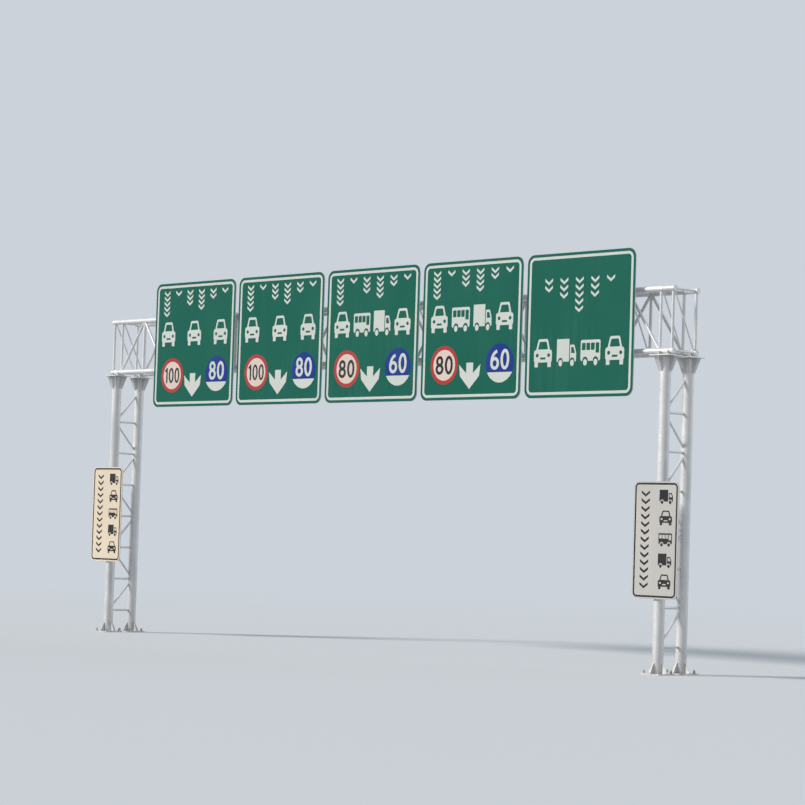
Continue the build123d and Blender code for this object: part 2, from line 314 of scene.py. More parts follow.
# %% [markdown]
# ## Finishes
#
# A finish is a node tree on the Principled shader. Patterns read Object coordinates, which here are
# metres on the gantry itself, so a streak on a column runs on over its ribs. What several finishes
# share, such as rain streaks, the zinc's spangle, road spray near the ground and the weave of
# reflective film, is a node group with its own inputs.

# %% Placing nodes
def feed(tree, node, inputs):
    """Fills a node's inputs. One given as a socket is linked, and any other value is set."""
    for key, value in inputs.items():
        if isinstance(value, bpy.types.NodeSocket):
            tree.links.new(value, node.inputs[key])
        else:
            node.inputs[key].default_value = value
    return node


def add(tree, kind, inputs=None, **settings):
    """Adds a shader node with its settings and inputs."""
    node = tree.nodes.new("ShaderNode" + kind)
    for key, value in settings.items():
        setattr(node, key, value)
    return feed(tree, node, inputs or {})


def calc(tree, operation, *values):
    """One step of arithmetic on numbers or sockets."""
    return add(tree, "Math", dict(enumerate(values)), operation=operation).outputs[0]


def spread(tree, value, low, high, to_low=0.0, to_high=1.0):
    """A value moved in proportion from one range to another, and held inside it."""
    inputs = {"Value": value, "From Min": low, "From Max": high, "To Min": to_low, "To Max": to_high}
    return add(tree, "MapRange", inputs).outputs["Result"]


def mixed(tree, factor, first, second):
    """first x (1 - factor) + second x factor, for colours."""
    return add(tree, "Mix", {0: factor, 6: first, 7: second}, data_type="RGBA").outputs[2]


def coordinates(tree, scale=None):
    """Object coordinates, times a scale for each axis if one is given."""
    place = add(tree, "TexCoord").outputs["Object"]
    return place if scale is None else add(tree, "Mapping", {"Vector": place, "Scale": scale}).outputs[0]


def noise(tree, vector, scale, detail=2.0):
    """Soft random shading about a half: a value first, and a colour."""
    return add(tree, "TexNoise", {"Vector": vector, "Scale": scale, "Detail": detail}).outputs


# %% Bumps and node groups
def bumped(tree, height, strength, distance, **under):
    """The surface's normal, tilted by the slope of a height."""
    inputs = {"Height": height, "Strength": strength, "Distance": distance, **under}
    return add(tree, "Bump", inputs).outputs["Normal"]


def group(name, inputs, outputs):
    """A new node group with float or colour inputs by their defaults: its tree, entry and exit."""
    tree = bpy.data.node_groups.new(name, "ShaderNodeTree")
    for label, default in inputs.items():
        kind = "NodeSocketColor" if isinstance(default, tuple) else "NodeSocketFloat"
        socket = tree.interface.new_socket(name=label, in_out="INPUT", socket_type=kind)
        socket.default_value = default
    for label, kind in outputs.items():
        tree.interface.new_socket(name=label, in_out="OUTPUT", socket_type="NodeSocket" + kind)
    return tree, tree.nodes.new("NodeGroupInput").outputs, tree.nodes.new("NodeGroupOutput")


def use(tree, name, inputs=None):
    """A node group placed in a tree, with its own values."""
    return add(tree, "Group", inputs, node_tree=bpy.data.node_groups[name]).outputs


# %% Rain streaks, zinc crystals and road spray
def make_rain_streaks():
    """Noise that is stretched downwards, and kept only where it is strong."""
    tree, entry, leave = group("rain_streaks", {"Coverage": 0.3}, {"Mask": "Float"})
    runs = noise(tree, coordinates(tree, (9, 9, 0.5)), 1.0, 5.0)[0]
    patches = noise(tree, coordinates(tree, (0.7, 0.7, 0.7)), 1.0)[0]
    both = calc(tree, "MULTIPLY", runs, spread(tree, patches, 0.3, 0.7, 0.5, 1.2))
    start = calc(tree, "SUBTRACT", 0.75, entry["Coverage"])
    feed(tree, leave, {"Mask": spread(tree, both, start, calc(tree, "ADD", start, 0.3))})


def make_spangle():
    """The crystals of a zinc coat: each cell of a Voronoi pattern has a grey of its own."""
    tree, entry, leave = group("spangle", {"Scale": 90.0}, {"Value": "Float", "Height": "Float"})
    place = coordinates(tree)
    bent = noise(tree, place, 25.0)["Color"]
    shift = add(tree, "VectorMath", {0: bent, 1: (0.02, 0.02, 0.02)}, operation="MULTIPLY").outputs[0]
    where = add(tree, "VectorMath", {0: place, 1: shift}, operation="ADD").outputs[0]
    cells = add(tree, "TexVoronoi", {"Vector": where, "Scale": entry["Scale"]}).outputs
    grey = add(tree, "SeparateColor", {"Color": cells["Color"]}).outputs[0]
    clouds = noise(tree, place, 3.0, 6.0)[0]
    value = calc(tree, "ADD", calc(tree, "MULTIPLY", grey, 0.45), calc(tree, "MULTIPLY", clouds, 0.55))
    feed(tree, leave, {"Value": value, "Height": cells["Distance"]})


def make_road_spray():
    """Dirt that traffic throws up: strongest on the ground and gone at the reach, with a ragged edge."""
    tree, entry, leave = group("road_spray", {"Reach": 1.2}, {"Mask": "Float"})
    place = coordinates(tree)
    height = add(tree, "SeparateXYZ", {"Vector": place}).outputs["Z"]
    rags = spread(tree, noise(tree, place, 6.0, 6.0)[0], 0.3, 0.7)
    near = spread(tree, calc(tree, "DIVIDE", height, entry["Reach"]), 0.0, 1.0, 1.0, 0.0)
    feed(tree, leave, {"Mask": calc(tree, "MULTIPLY", calc(tree, "POWER", near, 1.6), rags)})


# %% Reflective sheeting
FILM_CELLS = 260.0
HAIR_LINE = 0.003


def make_sheeting():
    """Reflective film: sealed cells of a few millimetres, lengths of film laid side by side with a
    hair line between them and a shade of their own, and soft clouds where dust lies."""
    grey = (0.5, 0.5, 0.5, 1)
    inputs = {"Colour": grey, "Dust": grey, "Cloud": 0.25, "Origin": 0.0, "Pitch": 3.75, "Strip": 1.2}
    tree, entry, leave = group("sheeting", inputs, {"Colour": "Color", "Height": "Float"})
    place = coordinates(tree)
    along = add(tree, "SeparateXYZ", {"Vector": place}).outputs["X"]
    along = calc(tree, "SUBTRACT", along, entry["Origin"])
    inside = calc(tree, "FLOORED_MODULO", along, entry["Pitch"])
    strip = calc(tree, "FLOOR", calc(tree, "DIVIDE", inside, entry["Strip"]))
    sheet = calc(tree, "FLOOR", calc(tree, "DIVIDE", along, entry["Pitch"]))
    number = calc(tree, "ADD", strip, calc(tree, "MULTIPLY", sheet, 7.0))
    shade = add(tree, "TexWhiteNoise", {"W": number}, noise_dimensions="1D").outputs["Value"]
    seam = calc(tree, "PINGPONG", inside, calc(tree, "MULTIPLY", entry["Strip"], 0.5))
    hair_line = calc(tree, "MULTIPLY", calc(tree, "LESS_THAN", seam, HAIR_LINE), 0.3)
    weave = {"Vector": place, "Scale": FILM_CELLS}
    cells = add(tree, "TexVoronoi", weave, feature="DISTANCE_TO_EDGE").outputs
    clouds = noise(tree, coordinates(tree, (1.1, 1.1, 0.6)), 1.0, 6.0)[0]
    amount = calc(tree, "MULTIPLY", spread(tree, clouds, 0.35, 0.75), entry["Cloud"])
    amount = calc(tree, "ADD", amount, calc(tree, "ADD", calc(tree, "MULTIPLY", shade, 0.05), hair_line))
    amount = calc(tree, "ADD", amount, spread(tree, cells["Distance"], 0.0, 0.08, 0.2, 0.0))
    colour = mixed(tree, amount, entry["Colour"], entry["Dust"])
    feed(tree, leave, {"Colour": colour, "Height": cells["Distance"]})


for make in (make_rain_streaks, make_spangle, make_road_spray, make_sheeting):
    make()
print("node groups", sorted(effect.name for effect in bpy.data.node_groups))

# %% [markdown]
# Hot-dip galvanised steel is dull and a little blotchy: cells of zinc crystals, clouds of lighter and
# darker grey, faint brown runs under joints, and dirt near the ground. Its weld beads and bolts are
# the same metal with another grain, so one function makes all three.

# %% Metals
STEEL_RUNS = (0.33, 0.315, 0.295, 1)
ROAD_DIRT = (0.30, 0.28, 0.25, 1)
DRAWN_DARK, DRAWN_LIGHT = (0.64, 0.65, 0.66, 1), (0.74, 0.75, 0.76, 1)
DRAWN_LINE = (0.50, 0.51, 0.52, 1)
ALUMINIUM_RUNS = (0.33, 0.31, 0.28, 1)


def principled(name):
    """A new material, its node tree and its shader."""
    material = bpy.data.materials.new(name)
    material.use_nodes = True
    return material, material.node_tree, material.node_tree.nodes["Principled BSDF"]


def streaks(tree, coverage, strength):
    """How much the rain streaks show at a point."""
    return calc(tree, "MULTIPLY", use(tree, "rain_streaks", {"Coverage": coverage})["Mask"], strength)


def zinc(name, light, dark, crystal, metallic, grain, grain_depth):
    """Zinc-coated steel between two greys, with a bump of its own grain. The crystal and grain are
    counts to the metre."""
    material, tree, shader = principled(name)
    cells = use(tree, "spangle", {"Scale": crystal})["Value"]
    colour = mixed(tree, spread(tree, cells, 0.25, 0.75), dark, light)
    colour = mixed(tree, streaks(tree, 0.3, 0.3), colour, STEEL_RUNS)
    spray = calc(tree, "MULTIPLY", use(tree, "road_spray")["Mask"], 0.55)
    colour = mixed(tree, spray, colour, ROAD_DIRT)
    rough = calc(tree, "ADD", spread(tree, cells, 0.2, 0.8, 0.30, 0.48), calc(tree, "MULTIPLY", spray, 0.4))
    normal = bumped(tree, noise(tree, coordinates(tree), grain)[0], 0.35, grain_depth)
    feed(tree, shader, {"Base Color": colour, "Roughness": rough, "Metallic": metallic, "Normal": normal})
    return material


def drawn_aluminium(name):
    """Mill-finish aluminium: fine lines along X, where the extrusion or sheet was drawn."""
    material, tree, shader = principled(name)
    lines = noise(tree, coordinates(tree, (0.6, 160, 160)), 1.0, 3.0)[0]
    clouds = noise(tree, coordinates(tree, (1, 1, 1)), 2.0, 5.0)[0]
    colour = mixed(tree, spread(tree, clouds, 0.3, 0.7), DRAWN_DARK, DRAWN_LIGHT)
    colour = mixed(tree, spread(tree, lines, 0.45, 0.8, 0, 0.25), colour, DRAWN_LINE)
    colour = mixed(tree, streaks(tree, 0.28, 0.25), colour, ALUMINIUM_RUNS)
    rough = spread(tree, lines, 0.3, 0.7, 0.32, 0.5)
    normal = bumped(tree, lines, 0.25, 0.0004)
    feed(tree, shader, {"Base Color": colour, "Roughness": rough, "Metallic": 0.45, "Normal": normal})
    return material


STEEL = zinc("dull_zinc_coat", (0.90, 0.90, 0.90, 1), (0.70, 0.705, 0.71, 1), 90.0, 0.35, 60.0, 0.0012)
WELD = zinc("weld_bead", (0.55, 0.555, 0.56, 1), (0.36, 0.365, 0.37, 1), 140.0, 0.5, 320.0, 0.0025)
BOLT = zinc("zinc_bolts", (0.62, 0.61, 0.58, 1), (0.40, 0.395, 0.38, 1), 260.0, 0.6, 220.0, 0.0008)
ALUMINIUM = drawn_aluminium("mill_aluminium")
print("metals", [material.name for material in (STEEL, WELD, BOLT, ALUMINIUM)])

# %% [markdown]
# Sign faces are reflective film on aluminium sheet. Film is smooth, with a soft sheen from its clear
# top layer, and under a lens it is a net of sealed cells. Each colour of film is the same finish with
# its own colour and dust, so the seams and clouds run on through marks and ground alike.

# %% Films
SIGN_PITCH = 3.75
SIGN_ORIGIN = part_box("sign_panel_1")[0].x
FILM_STRIP = 1.2
FILM_ROUGHNESS = 0.34
WHOLE_SHEET = 99  # wider than any sign
LEG_FILM_ORIGIN = LEGS[0] - 10  # from here, no seam falls on a leg sign


def film_finish(name, colour, dust, cloud=0.12, runs=0.14, origin=SIGN_ORIGIN, strip=FILM_STRIP):
    """Film of one colour, with dust in its clouds and in the rain streaks."""
    material, tree, shader = principled(name)
    colour, dust = (*colour, 1), (*dust, 1)
    inputs = {"Colour": colour, "Dust": dust, "Cloud": cloud, "Origin": origin}
    film = use(tree, "sheeting", {**inputs, "Pitch": SIGN_PITCH, "Strip": strip})
    runs = streaks(tree, 0.26, runs)
    waved = bumped(tree, noise(tree, coordinates(tree, (1, 1, 1)), 2.2, 1.0)[0], 0.25, 0.01)
    feed(tree, shader, {
        "Base Color": mixed(tree, runs, film["Colour"], dust),
        "Roughness": calc(tree, "ADD", FILM_ROUGHNESS, calc(tree, "MULTIPLY", runs, 0.6)),
        "Specular IOR Level": 0.15,
        "Normal": bumped(tree, film["Height"], 0.15, 0.0004, Normal=waved),
    })
    return material


def leg_film(name, colour, dust):
    """The film of a leg sign: one whole sheet, with more dust on it."""
    return film_finish(name, colour, dust, 0.35, 0.5, LEG_FILM_ORIGIN, WHOLE_SHEET)


GREEN = film_finish("green_film", (0.002, 0.118, 0.083), (0.035, 0.18, 0.13), 0.14, 0.16)
WHITE = film_finish("white_film", (0.68, 0.73, 0.70), (0.50, 0.56, 0.52), 0.2)
RED = film_finish("red_film", (0.48, 0.03, 0.035), (0.50, 0.20, 0.16), 0.2)
PALE = film_finish("roundel_white_film", (0.78, 0.67, 0.61), (0.60, 0.52, 0.47), 0.2)
BLUE = film_finish("blue_film", (0.006, 0.034, 0.26), (0.06, 0.11, 0.29), 0.2)
BLACK = film_finish("black_film", (0.018, 0.018, 0.02), (0.12, 0.115, 0.11), 0.3)
# the right leg sign's white film is greyed here, as painted shade
LEG_WHITE_PAINTED_SHADE = leg_film("leg_sign_white_film_painted_shade", (0.62, 0.62, 0.605), (0.46, 0.45, 0.42))
# the left leg sign's cream colour is painted warm low sunlight on the same white film
LEG_CREAM_PAINTED_SUNLIGHT = leg_film("leg_sign_cream_painted_sunlight_film", (0.89, 0.775, 0.62), (0.72, 0.60, 0.47))
print("films", [material.name for material in (GREEN, WHITE, RED, PALE, BLUE, BLACK, LEG_WHITE_PAINTED_SHADE, LEG_CREAM_PAINTED_SUNLIGHT)])

# %% Finishes on the frame's own nodes
GREEN_SLOT, WHITE_SLOT, RAIL_SLOT = "green_sign_face", "white_sign_face", "sign_rail_aluminium"
NODE_FINISH = {STEEL_SLOT: STEEL, GREEN_SLOT: GREEN, WHITE_SLOT: LEG_WHITE_PAINTED_SHADE, RAIL_SLOT: ALUMINIUM}
for subpart in frame["record"]["subparts"]:
    materials = frame["nodes"][subpart["node"]].data.materials
    materials.clear()
    materials.append(NODE_FINISH[subpart["material_slot"]])

# %% [markdown]
# ## Lattice tubes
#
# Each lattice bar is a round tube whose ends are cut to a saddle that fits the tube it lands on. The
# cut could be a boolean, but the saddle has a formula. A line along the tube's skin meets the other
# tube where its distance from that tube's axis equals that tube's radius, which is a quadratic.

# %% Coped tubes and their weld beads
X_AXIS = np.array([1.0, 0, 0])
Z_AXIS = np.array([0, 0, 1.0])
SEAM_SIDE = (0.31, 0.95, 0.07)  # where each tube's first skin line lies: no bar runs this way
TUBE_SIDES = 20
BEAD_SIDES = 6
BEAD_RADIUS = 0.0055
COPE_DEPTH = 0.002


def saddle(starts, runs, sides, radius, centres, axis, wall_radius):
    """Where each skin line of each tube meets a wall tube, and the two outward directions there.
    The line is b + t d. With parts along the wall's axis taken off, |p + t d|^2 = R^2 gives
    t = (-p.d + sqrt((p.d)^2 - d.d (p.p - R^2))) / d.d, the root on the tube's own side."""
    skin = starts[:, None] + radius * sides
    p = skin - centres[:, None]
    p = p - (p @ axis)[..., None] * axis
    d = (runs - (runs @ axis)[:, None] * axis)[:, None]
    dd = (d * d).sum(-1)
    pd = (p * d).sum(-1)
    t = (np.sqrt(pd**2 - dd * ((p * p).sum(-1) - wall_radius**2)) - pd) / dd
    return skin + t[..., None] * runs[:, None], unit(p + t[..., None] * d)


def bead(path, first, second):
    """A round bead along closed paths, (beads, points, 3): at each point a circle in the plane of
    the path's normal n = first + second and the direction square to both n and the path."""
    along = unit(np.roll(path, -1, axis=1) - np.roll(path, 1, axis=1))
    across = unit(np.cross(along, unit(first + second)))
    return rod(path, np.cross(across, along), across, BEAD_RADIUS, BEAD_SIDES, closed=True)


def coped_tubes(starts, ends, radius, axis, wall_radius, centres=None):
    """Tubes between work points, cut to fit the wall tubes there, and the bead round every cut. The
    walls' axes run through the work points, or through centres, a pair of arrays, where given."""
    runs = unit(ends - starts)
    sides = np.einsum("kij,nj->kni", turns(runs, SEAM_SIDE), spokes(TUBE_SIDES))
    rings, beads = [], []
    for points, away, centre in zip((starts, ends), (runs, -runs), centres or (starts, ends)):
        rings.append(saddle(points, away, sides, radius, centre, axis, wall_radius - COPE_DEPTH)[0])
        foot, out = saddle(points, away, sides, radius, centre, axis, wall_radius)
        beads.append(bead(foot, out, sides))
    return loft(np.stack(rings, axis=1)), joined(beads)


def lattice(label, tag, node, *cut):
    """The two pieces of a family of bars: the tubes, which stand for a node, and their welds."""
    tubes, welds = coped_tubes(*cut)
    piece(label + "_tubes" + tag, tubes, STEEL, [node])
    piece(label + "_welds" + tag, welds, WELD)


# %% [markdown]
# The truss has four families of bars. On each tall side there is an upright at every station, and a
# diagonal in each bay that leans the other way from bay to bay. The two level sides repeat that with
# thinner tube. A light brace crosses the truss at each station, from the inner quarter of one chord
# to that of the opposite one, so that it lands clear of the other bars.

# %% Webs, plan lacing and cross braces
def zigzag(first, second):
    """Straight bars at every station and one diagonal a bay, between two lines of the truss.
    Each line is a pair (y, z), and even bays rise from the first line to the second."""
    lines = np.array([first, second], float)
    odd = np.arange(BAY_COUNT) % 2
    starts = [points_of(STATION_X, *first), points_of(NODE_X[:-1], *lines[odd].T)]
    ends = [points_of(STATION_X, *second), points_of(NODE_X[1:], *lines[1 - odd].T)]
    return np.concatenate(starts), np.concatenate(ends)


ON_CHORD = X_AXIS, CHORD_RADIUS
for row, y in ROW_Y.items():
    lattice("web", "_" + row, "web_" + row, *zigzag((y, LOW_Z), (y, HIGH_Z)), WEB_RADIUS, *ON_CHORD)
for level, z in (("low", LOW_Z), ("high", HIGH_Z)):
    bars = zigzag((FRONT, z), (REAR, z))
    lattice("plan", "_" + level, "plan_lacing_" + level, *bars, PLAN_RADIUS, *ON_CHORD)

# a brace's work point lies on the line that touches the chord at 45 degrees, clear of the web's foot
brace_in = (WEB_RADIUS + CHORD_RADIUS) / 2
brace_down = CHORD_RADIUS * sqrt(2) - brace_in
brace_top = points_of(STATION_X, FRONT + brace_in, HIGH_Z - brace_down)
brace_foot = points_of(STATION_X, REAR - brace_in, LOW_Z + brace_down)
chord_axes = points_of(STATION_X, FRONT, HIGH_Z), points_of(STATION_X, REAR, LOW_Z)
lattice("brace", "", "cross_braces", brace_top, brace_foot, BRACE_RADIUS, *ON_CHORD, chord_axes)
print("lattice triangles", sum(made.values()))

# %% [markdown]
# ## Chords
#
# A chord is a long round tube in three lengths. They are bolted together through flanges, a little
# under three bays to either side of the middle, and the chord's open ends are closed by a welded
# disc. Each length is a profile turned about its axis: a flange is a stretch of larger radius.

# %% Chord lengths and seats
CHORD_SIDES = 48
END_INSET = 0.004
NECK_WELD = 0.007
SEAT_SIZE = (0.42, 0.30, 0.02)
SEAT_GAP = 0.015
SEAT_TOP = LOW_Z - CHORD_RADIUS - SEAT_GAP
CRADLE_SIZE = (0.012, 0.22, LOW_Z - SEAT_TOP)
CRADLE_SPACING = 0.26


def closed_end(x):
    """The profile of a tube's end: a disc welded just inside the rim."""
    inward = END_INSET if x < 0 else -END_INSET
    return [
        (CHORD_RADIUS - 2 * END_INSET, x + inward),
        (CHORD_RADIUS - 1.6 * END_INSET, x),
        (CHORD_RADIUS - END_INSET / 2, x),
        (CHORD_RADIUS, x + inward / 3),
    ]


def flanged_end(x, towards):
    """The profile of a flange whose bolted face is at x, with the tube on the side named towards."""
    back = x + towards * SPLICE_THICKNESS
    edge, weld = towards * EDGE, towards * NECK_WELD
    return [
        (SPLICE_RADIUS - EDGE, x),
        (SPLICE_RADIUS, x + edge),
        (SPLICE_RADIUS, back - edge),
        (SPLICE_RADIUS - EDGE, back),
        (CHORD_RADIUS + NECK_WELD, back),
        (CHORD_RADIUS + 0.3 * NECK_WELD, back + 0.3 * weld),
        (CHORD_RADIUS, back + weld),
    ]


def chord_lengths(y, z):
    """The three turned lengths of one chord, laid along X."""
    profiles = [
        closed_end(-TRUSS_END) + flanged_end(-SPLICE_X, -1)[::-1],
        flanged_end(-SPLICE_X, 1) + flanged_end(SPLICE_X, -1)[::-1],
        flanged_end(SPLICE_X, 1) + closed_end(TRUSS_END)[::-1],
    ]
    return joined(copies(turned(profile, CHORD_SIDES), [(0, y, z)], X_AXIS) for profile in profiles)


def seats(y):
    """Under each end of a low chord, a seat plate and two cradle plates that hold the tube."""
    plates = copies(block(*SEAT_SIZE), grid_of(LEGS, [y], [SEAT_TOP - SEAT_SIZE[2] / 2]))
    cradle_x = either_side(LEGS, CRADLE_SPACING / 2)
    cradles = copies(block(*CRADLE_SIZE), grid_of(cradle_x, [y], [SEAT_TOP + CRADLE_SIZE[2] / 2]))
    return joined([plates, cradles])


for row, y in ROW_Y.items():
    low_chord = joined([chord_lengths(y, LOW_Z), seats(y)])
    piece("chord_tube_low_" + row, low_chord, STEEL, ["chord_low_" + row])
    piece("chord_tube_high_" + row, chord_lengths(y, HIGH_Z), STEEL, ["chord_high_" + row])
print("pieces so far", len(made))

# %% [markdown]
# ## Bolts
#
# The gantry is held by four sizes of bolt. A bolt is three small shapes on one axis: a hexagon with
# its corners taken off, a round washer and a threaded end. One function makes any size, and copies
# put it in each place, so a hundred bolts cost one short array sum.

# %% Hexagons, washers and threads
# shares of a bolt's diameter: flats and heights of head and nut, washer, and the thread's end
FLATS, HEAD, NUT, DISC, DISC_RADIUS = 1.5, 0.65, 0.8, 0.14, 0.95
THREAD_LOW, THREAD_HIGH, THREAD_PITCH = 0.9, 1.3, 0.12
THREAD_ROOT = 0.9
# a hexagon's corners are cut from this share of its height, down to this share of its width
CHAMFER_FOOT, CHAMFER_TOP = 0.85, 0.86
DISC_SIDES, THREAD_SIDES = 14, 10
SMALL_DISC = 0.0025


def hexagon(flats, height):
    """A bolt head or nut on Z = 0, from its width across flats; its top ring is drawn in."""
    corner = flats / sqrt(3)
    return turned([(corner, 0), (corner, CHAMFER_FOOT * height), (CHAMFER_TOP * corner, height)], 6)


def thread(radius, low, high, pitch):
    """A threaded end along Z: its radius steps between crest and root once a pitch."""
    count = max(2, int((high - low) / pitch * 2))
    radii = radius * np.where(np.arange(count + 1) % 2, THREAD_ROOT, 1.0)
    return turned(np.column_stack([radii, np.linspace(low, high, count + 1)]), THREAD_SIDES)


def on_washer(size, height, disc=SMALL_DISC, flats=None):
    """A round washer on Z = 0 and a hexagon on it, for a bolt of a size."""
    radius = DISC_RADIUS * size
    top = moved(hexagon(flats or FLATS * size, height), (0, 0, disc))
    return joined([turned([(radius, 0), (radius, disc)], DISC_SIDES), top])


def bolt(size, grip):
    """A bolt through a grip: head and washer above Z = 0, washer, nut and thread below -grip. Its
    sizes are the usual shares of its diameter."""
    head, nut = (on_washer(size, share * size, DISC * size) for share in (HEAD, NUT))
    below = joined([nut, thread(size / 2, THREAD_LOW * size, THREAD_HIGH * size, THREAD_PITCH * size)])
    turned_over = Shape(below.points * [1, -1, -1] - [0, 0, grip], below.quads, below.tris)
    return joined([head, turned_over])


# %% Bolts of the seats and flanges
SEAT_BOLT = 0.02
SEAT_BOLT_ASIDE = (0.17, 0.11)
FLANGE_BOLT = 0.016
FLANGE_BOLT_COUNT = 8
FLANGE_BOLT_RADIUS = 0.096

seat_x, seat_y = (either_side(*pair) for pair in zip((LEGS, ROWS), SEAT_BOLT_ASIDE))
seat_bolt = bolt(SEAT_BOLT, SEAT_SIZE[2] + CAP_THICKNESS)
piece("seat_bolts", copies(seat_bolt, grid_of(seat_x, seat_y, [SEAT_TOP])), BOLT)

ring = FLANGE_BOLT_RADIUS * np.roll(spokes(FLANGE_BOLT_COUNT, 0.5), 1, axis=1)
splices = grid_of([SPLICE_THICKNESS - SPLICE_X, SPLICE_THICKNESS + SPLICE_X], ROWS, [LOW_Z, HIGH_Z])
flange_places = (splices[:, None] + ring).reshape(-1, 3)
piece("flange_bolts", copies(bolt(FLANGE_BOLT, 2 * SPLICE_THICKNESS), flange_places, X_AXIS), BOLT)
print("flange bolts", len(flange_places))

# %% [markdown]
# ## Legs
#
# A leg is two round columns with lacing of thinner tube between them. The columns stand in for the
# frame's own ones with more sides, and each is welded to its foot and its cap by a ring of weld.

# %% Columns and leg lacing
COLUMN_SIDES = 72
shaft = turned([(COLUMN_RADIUS, COLUMN_LOW.z), (COLUMN_RADIUS, COLUMN_HIGH.z)], COLUMN_SIDES)
levels = COLUMN_HIGH.z - LEG_LACING_DROP - LEG_BAY_HEIGHT * np.arange(LEG_BAYS + 1)
# a bay has a diagonal down from one column to the other, and a level strut back
odd = np.arange(LEG_BAYS) % 2
here, there = np.array([REAR, FRONT])[odd], np.array([REAR, FRONT])[1 - odd]
for side, x in LEG_X.items():
    for row, y in ROW_Y.items():
        name = side + "_" + row
        piece("column_tube_" + name, moved(shaft, (x, y, 0)), STEEL, ["column_" + name])
    top, foot = points_of(x, here, levels[:-1]), points_of(x, there, levels[1:])
    starts, ends = np.concatenate([top, foot]), np.concatenate([foot, points_of(x, here, levels[1:])])
    lattice("leg", "_" + side, "leg_lacing_" + side, starts, ends, LEG_BAR_RADIUS, Z_AXIS, COLUMN_RADIUS)
print("leg lacing from", levels[-1], "to", levels[0])

# %% [markdown]
# The feet and caps keep the frame's own plates and ribs, whose shape is already right. What a welder
# leaves is added: a ring of bead at each column's end, and fillets in the corners along both sides of
# every rib. A fillet here is a three-sided bar, lofted between two points.

# %% Welds at the feet and caps
BASE_RIBS, BASE_RIB_REACH, BASE_RIB_HEIGHT = 4, 0.14, 0.25
CAP_RIBS, CAP_RIB_REACH, CAP_RIB_HEIGHT = 8, 0.15, 0.37
HALF_RIB = 0.006
RIB_TOE = 0.02
RIB_TIP = 0.01
FILLET = 0.007
FILLET_SINK = 0.001
END_BEAD_STEPS = 64


def fillets(starts, ends, first, second):
    """Three-sided bars: each end has the corner and two points moved from it along the two faces."""
    corners = np.stack([starts, ends], axis=1)[:, :, None]
    legs = np.stack(np.broadcast_arrays(0 * starts, first, second), axis=1)[:, None] * FILLET
    return loft(corners + legs)


def end_welds(height, up, count, reach, tall):
    """The welds round a column's end: a ring on the plate at a height, and two fillets on either
    side of every rib, one out along the plate and one along the column. up is 1 or -1."""
    rise, plate = up * Z_AXIS, height * Z_AXIS
    out, radial = spokes(END_BEAD_STEPS)[None], spokes(count)
    shapes = [bead(out * COLUMN_RADIUS + plate, out, rise)]
    for side in (-1, 1):
        across = side * np.cross(Z_AXIS, radial)
        root = radial * (COLUMN_RADIUS - FILLET_SINK) + across * HALF_RIB + plate
        shapes.append(fillets(root, root + radial * (reach - RIB_TIP), across, rise))
        shapes.append(fillets(root, root + rise * (tall - RIB_TOE), across, radial))
    return joined(shapes)


foot_welds = end_welds(BASE_THICKNESS, 1, BASE_RIBS, BASE_RIB_REACH, BASE_RIB_HEIGHT)
cap_welds = end_welds(COLUMN_HIGH.z, -1, CAP_RIBS, CAP_RIB_REACH, CAP_RIB_HEIGHT)
column_places = grid_of(LEGS, ROWS, [0.0])
piece("foot_welds", copies(foot_welds, column_places), WELD)
piece("cap_welds", copies(cap_welds, column_places), WELD)
print("welds round", len(column_places), "columns")

# %% [markdown]
# Sixteen anchor bolts hold the feet. Each stud comes up through the plate and carries a washer, a
# nut and a thinner lock nut, with its thread standing out above them.

# %% Anchor bolts
ANCHOR = 0.036
ANCHOR_ASIDE = 0.23
ANCHOR_FLATS = 0.055
ANCHOR_DISC = 0.005
ANCHOR_NUT = 0.029
LOCK_NUT = 0.018
LOCK_NUT_FOOT = 0.0345
STUD_FOOT, STUD_TOP, STUD_PITCH = 0.004 - BASE_THICKNESS, 0.085, 0.006

anchor = joined([
    on_washer(ANCHOR, ANCHOR_NUT, ANCHOR_DISC, ANCHOR_FLATS),
    moved(hexagon(ANCHOR_FLATS, LOCK_NUT), (0, 0, LOCK_NUT_FOOT)),
    thread(ANCHOR / 2, STUD_FOOT, STUD_TOP, STUD_PITCH),
])
anchor_x, anchor_y = (either_side(values, ANCHOR_ASIDE) for values in (LEGS, ROWS))
anchor_places = grid_of(anchor_x, anchor_y, [BASE_THICKNESS])
piece("anchor_bolts", copies(anchor, anchor_places), BOLT)
print("anchor bolts", len(anchor_places))

# %% [markdown]
# ## Sign sheets
#
# A sign is a shallow aluminium tray: a flat sheet whose edge is folded back. It is one outline, a
# rounded rectangle, carried round the section of the fold. The outline for a place on the section is
# the sign's own outline drawn in by a distance, which only makes its corner radius smaller.

# %% Trays and films
SHEET = 0.003
RETURN_DEPTH = 0.025
FOLD_RADIUS = 0.004
FOLD_INSIDE = 0.001
FILM = 0.0006


def tray(width, height, corner):
    """A folded sheet with its face on Y = 0, about the middle of its face.
    The section runs from the face, round the fold, along the return and back inside it."""
    bend = np.linspace(0, pi / 2, 4)
    outside = np.column_stack([FOLD_RADIUS * (1 - np.sin(bend)), FOLD_RADIUS * (1 - np.cos(bend))])
    lip = [(0, RETURN_DEPTH), (SHEET, RETURN_DEPTH)]
    inside = [(SHEET, SHEET + FOLD_INSIDE), (SHEET + FOLD_INSIDE, SHEET)]
    section = np.concatenate([outside, lip, inside])
    outlines = [rounded_rectangle(width, height, inset, corner - inset) for inset in section[:, 0]]
    return loft(np.stack([on_face(outline, depth) for outline, depth in zip(outlines, section[:, 1])]))


def flat_film(outline, layer, hub=None):
    """A flat piece of film: its outline at the layer's back and front, each filled from the hub."""
    depths = [-FILM * layer, -FILM * (layer + 1)]
    hubs = None if hub is None else [(hub[0], depth, hub[1]) for depth in depths]
    return loft(np.stack([on_face(np.asarray(outline), depth) for depth in depths]), hubs=hubs)


def stroke(path, width, layer, closed=False):
    """Film of one width along a path."""
    return ribbon(path, width, (-FILM * layer, -FILM * (layer + 1)), on_face, closed)


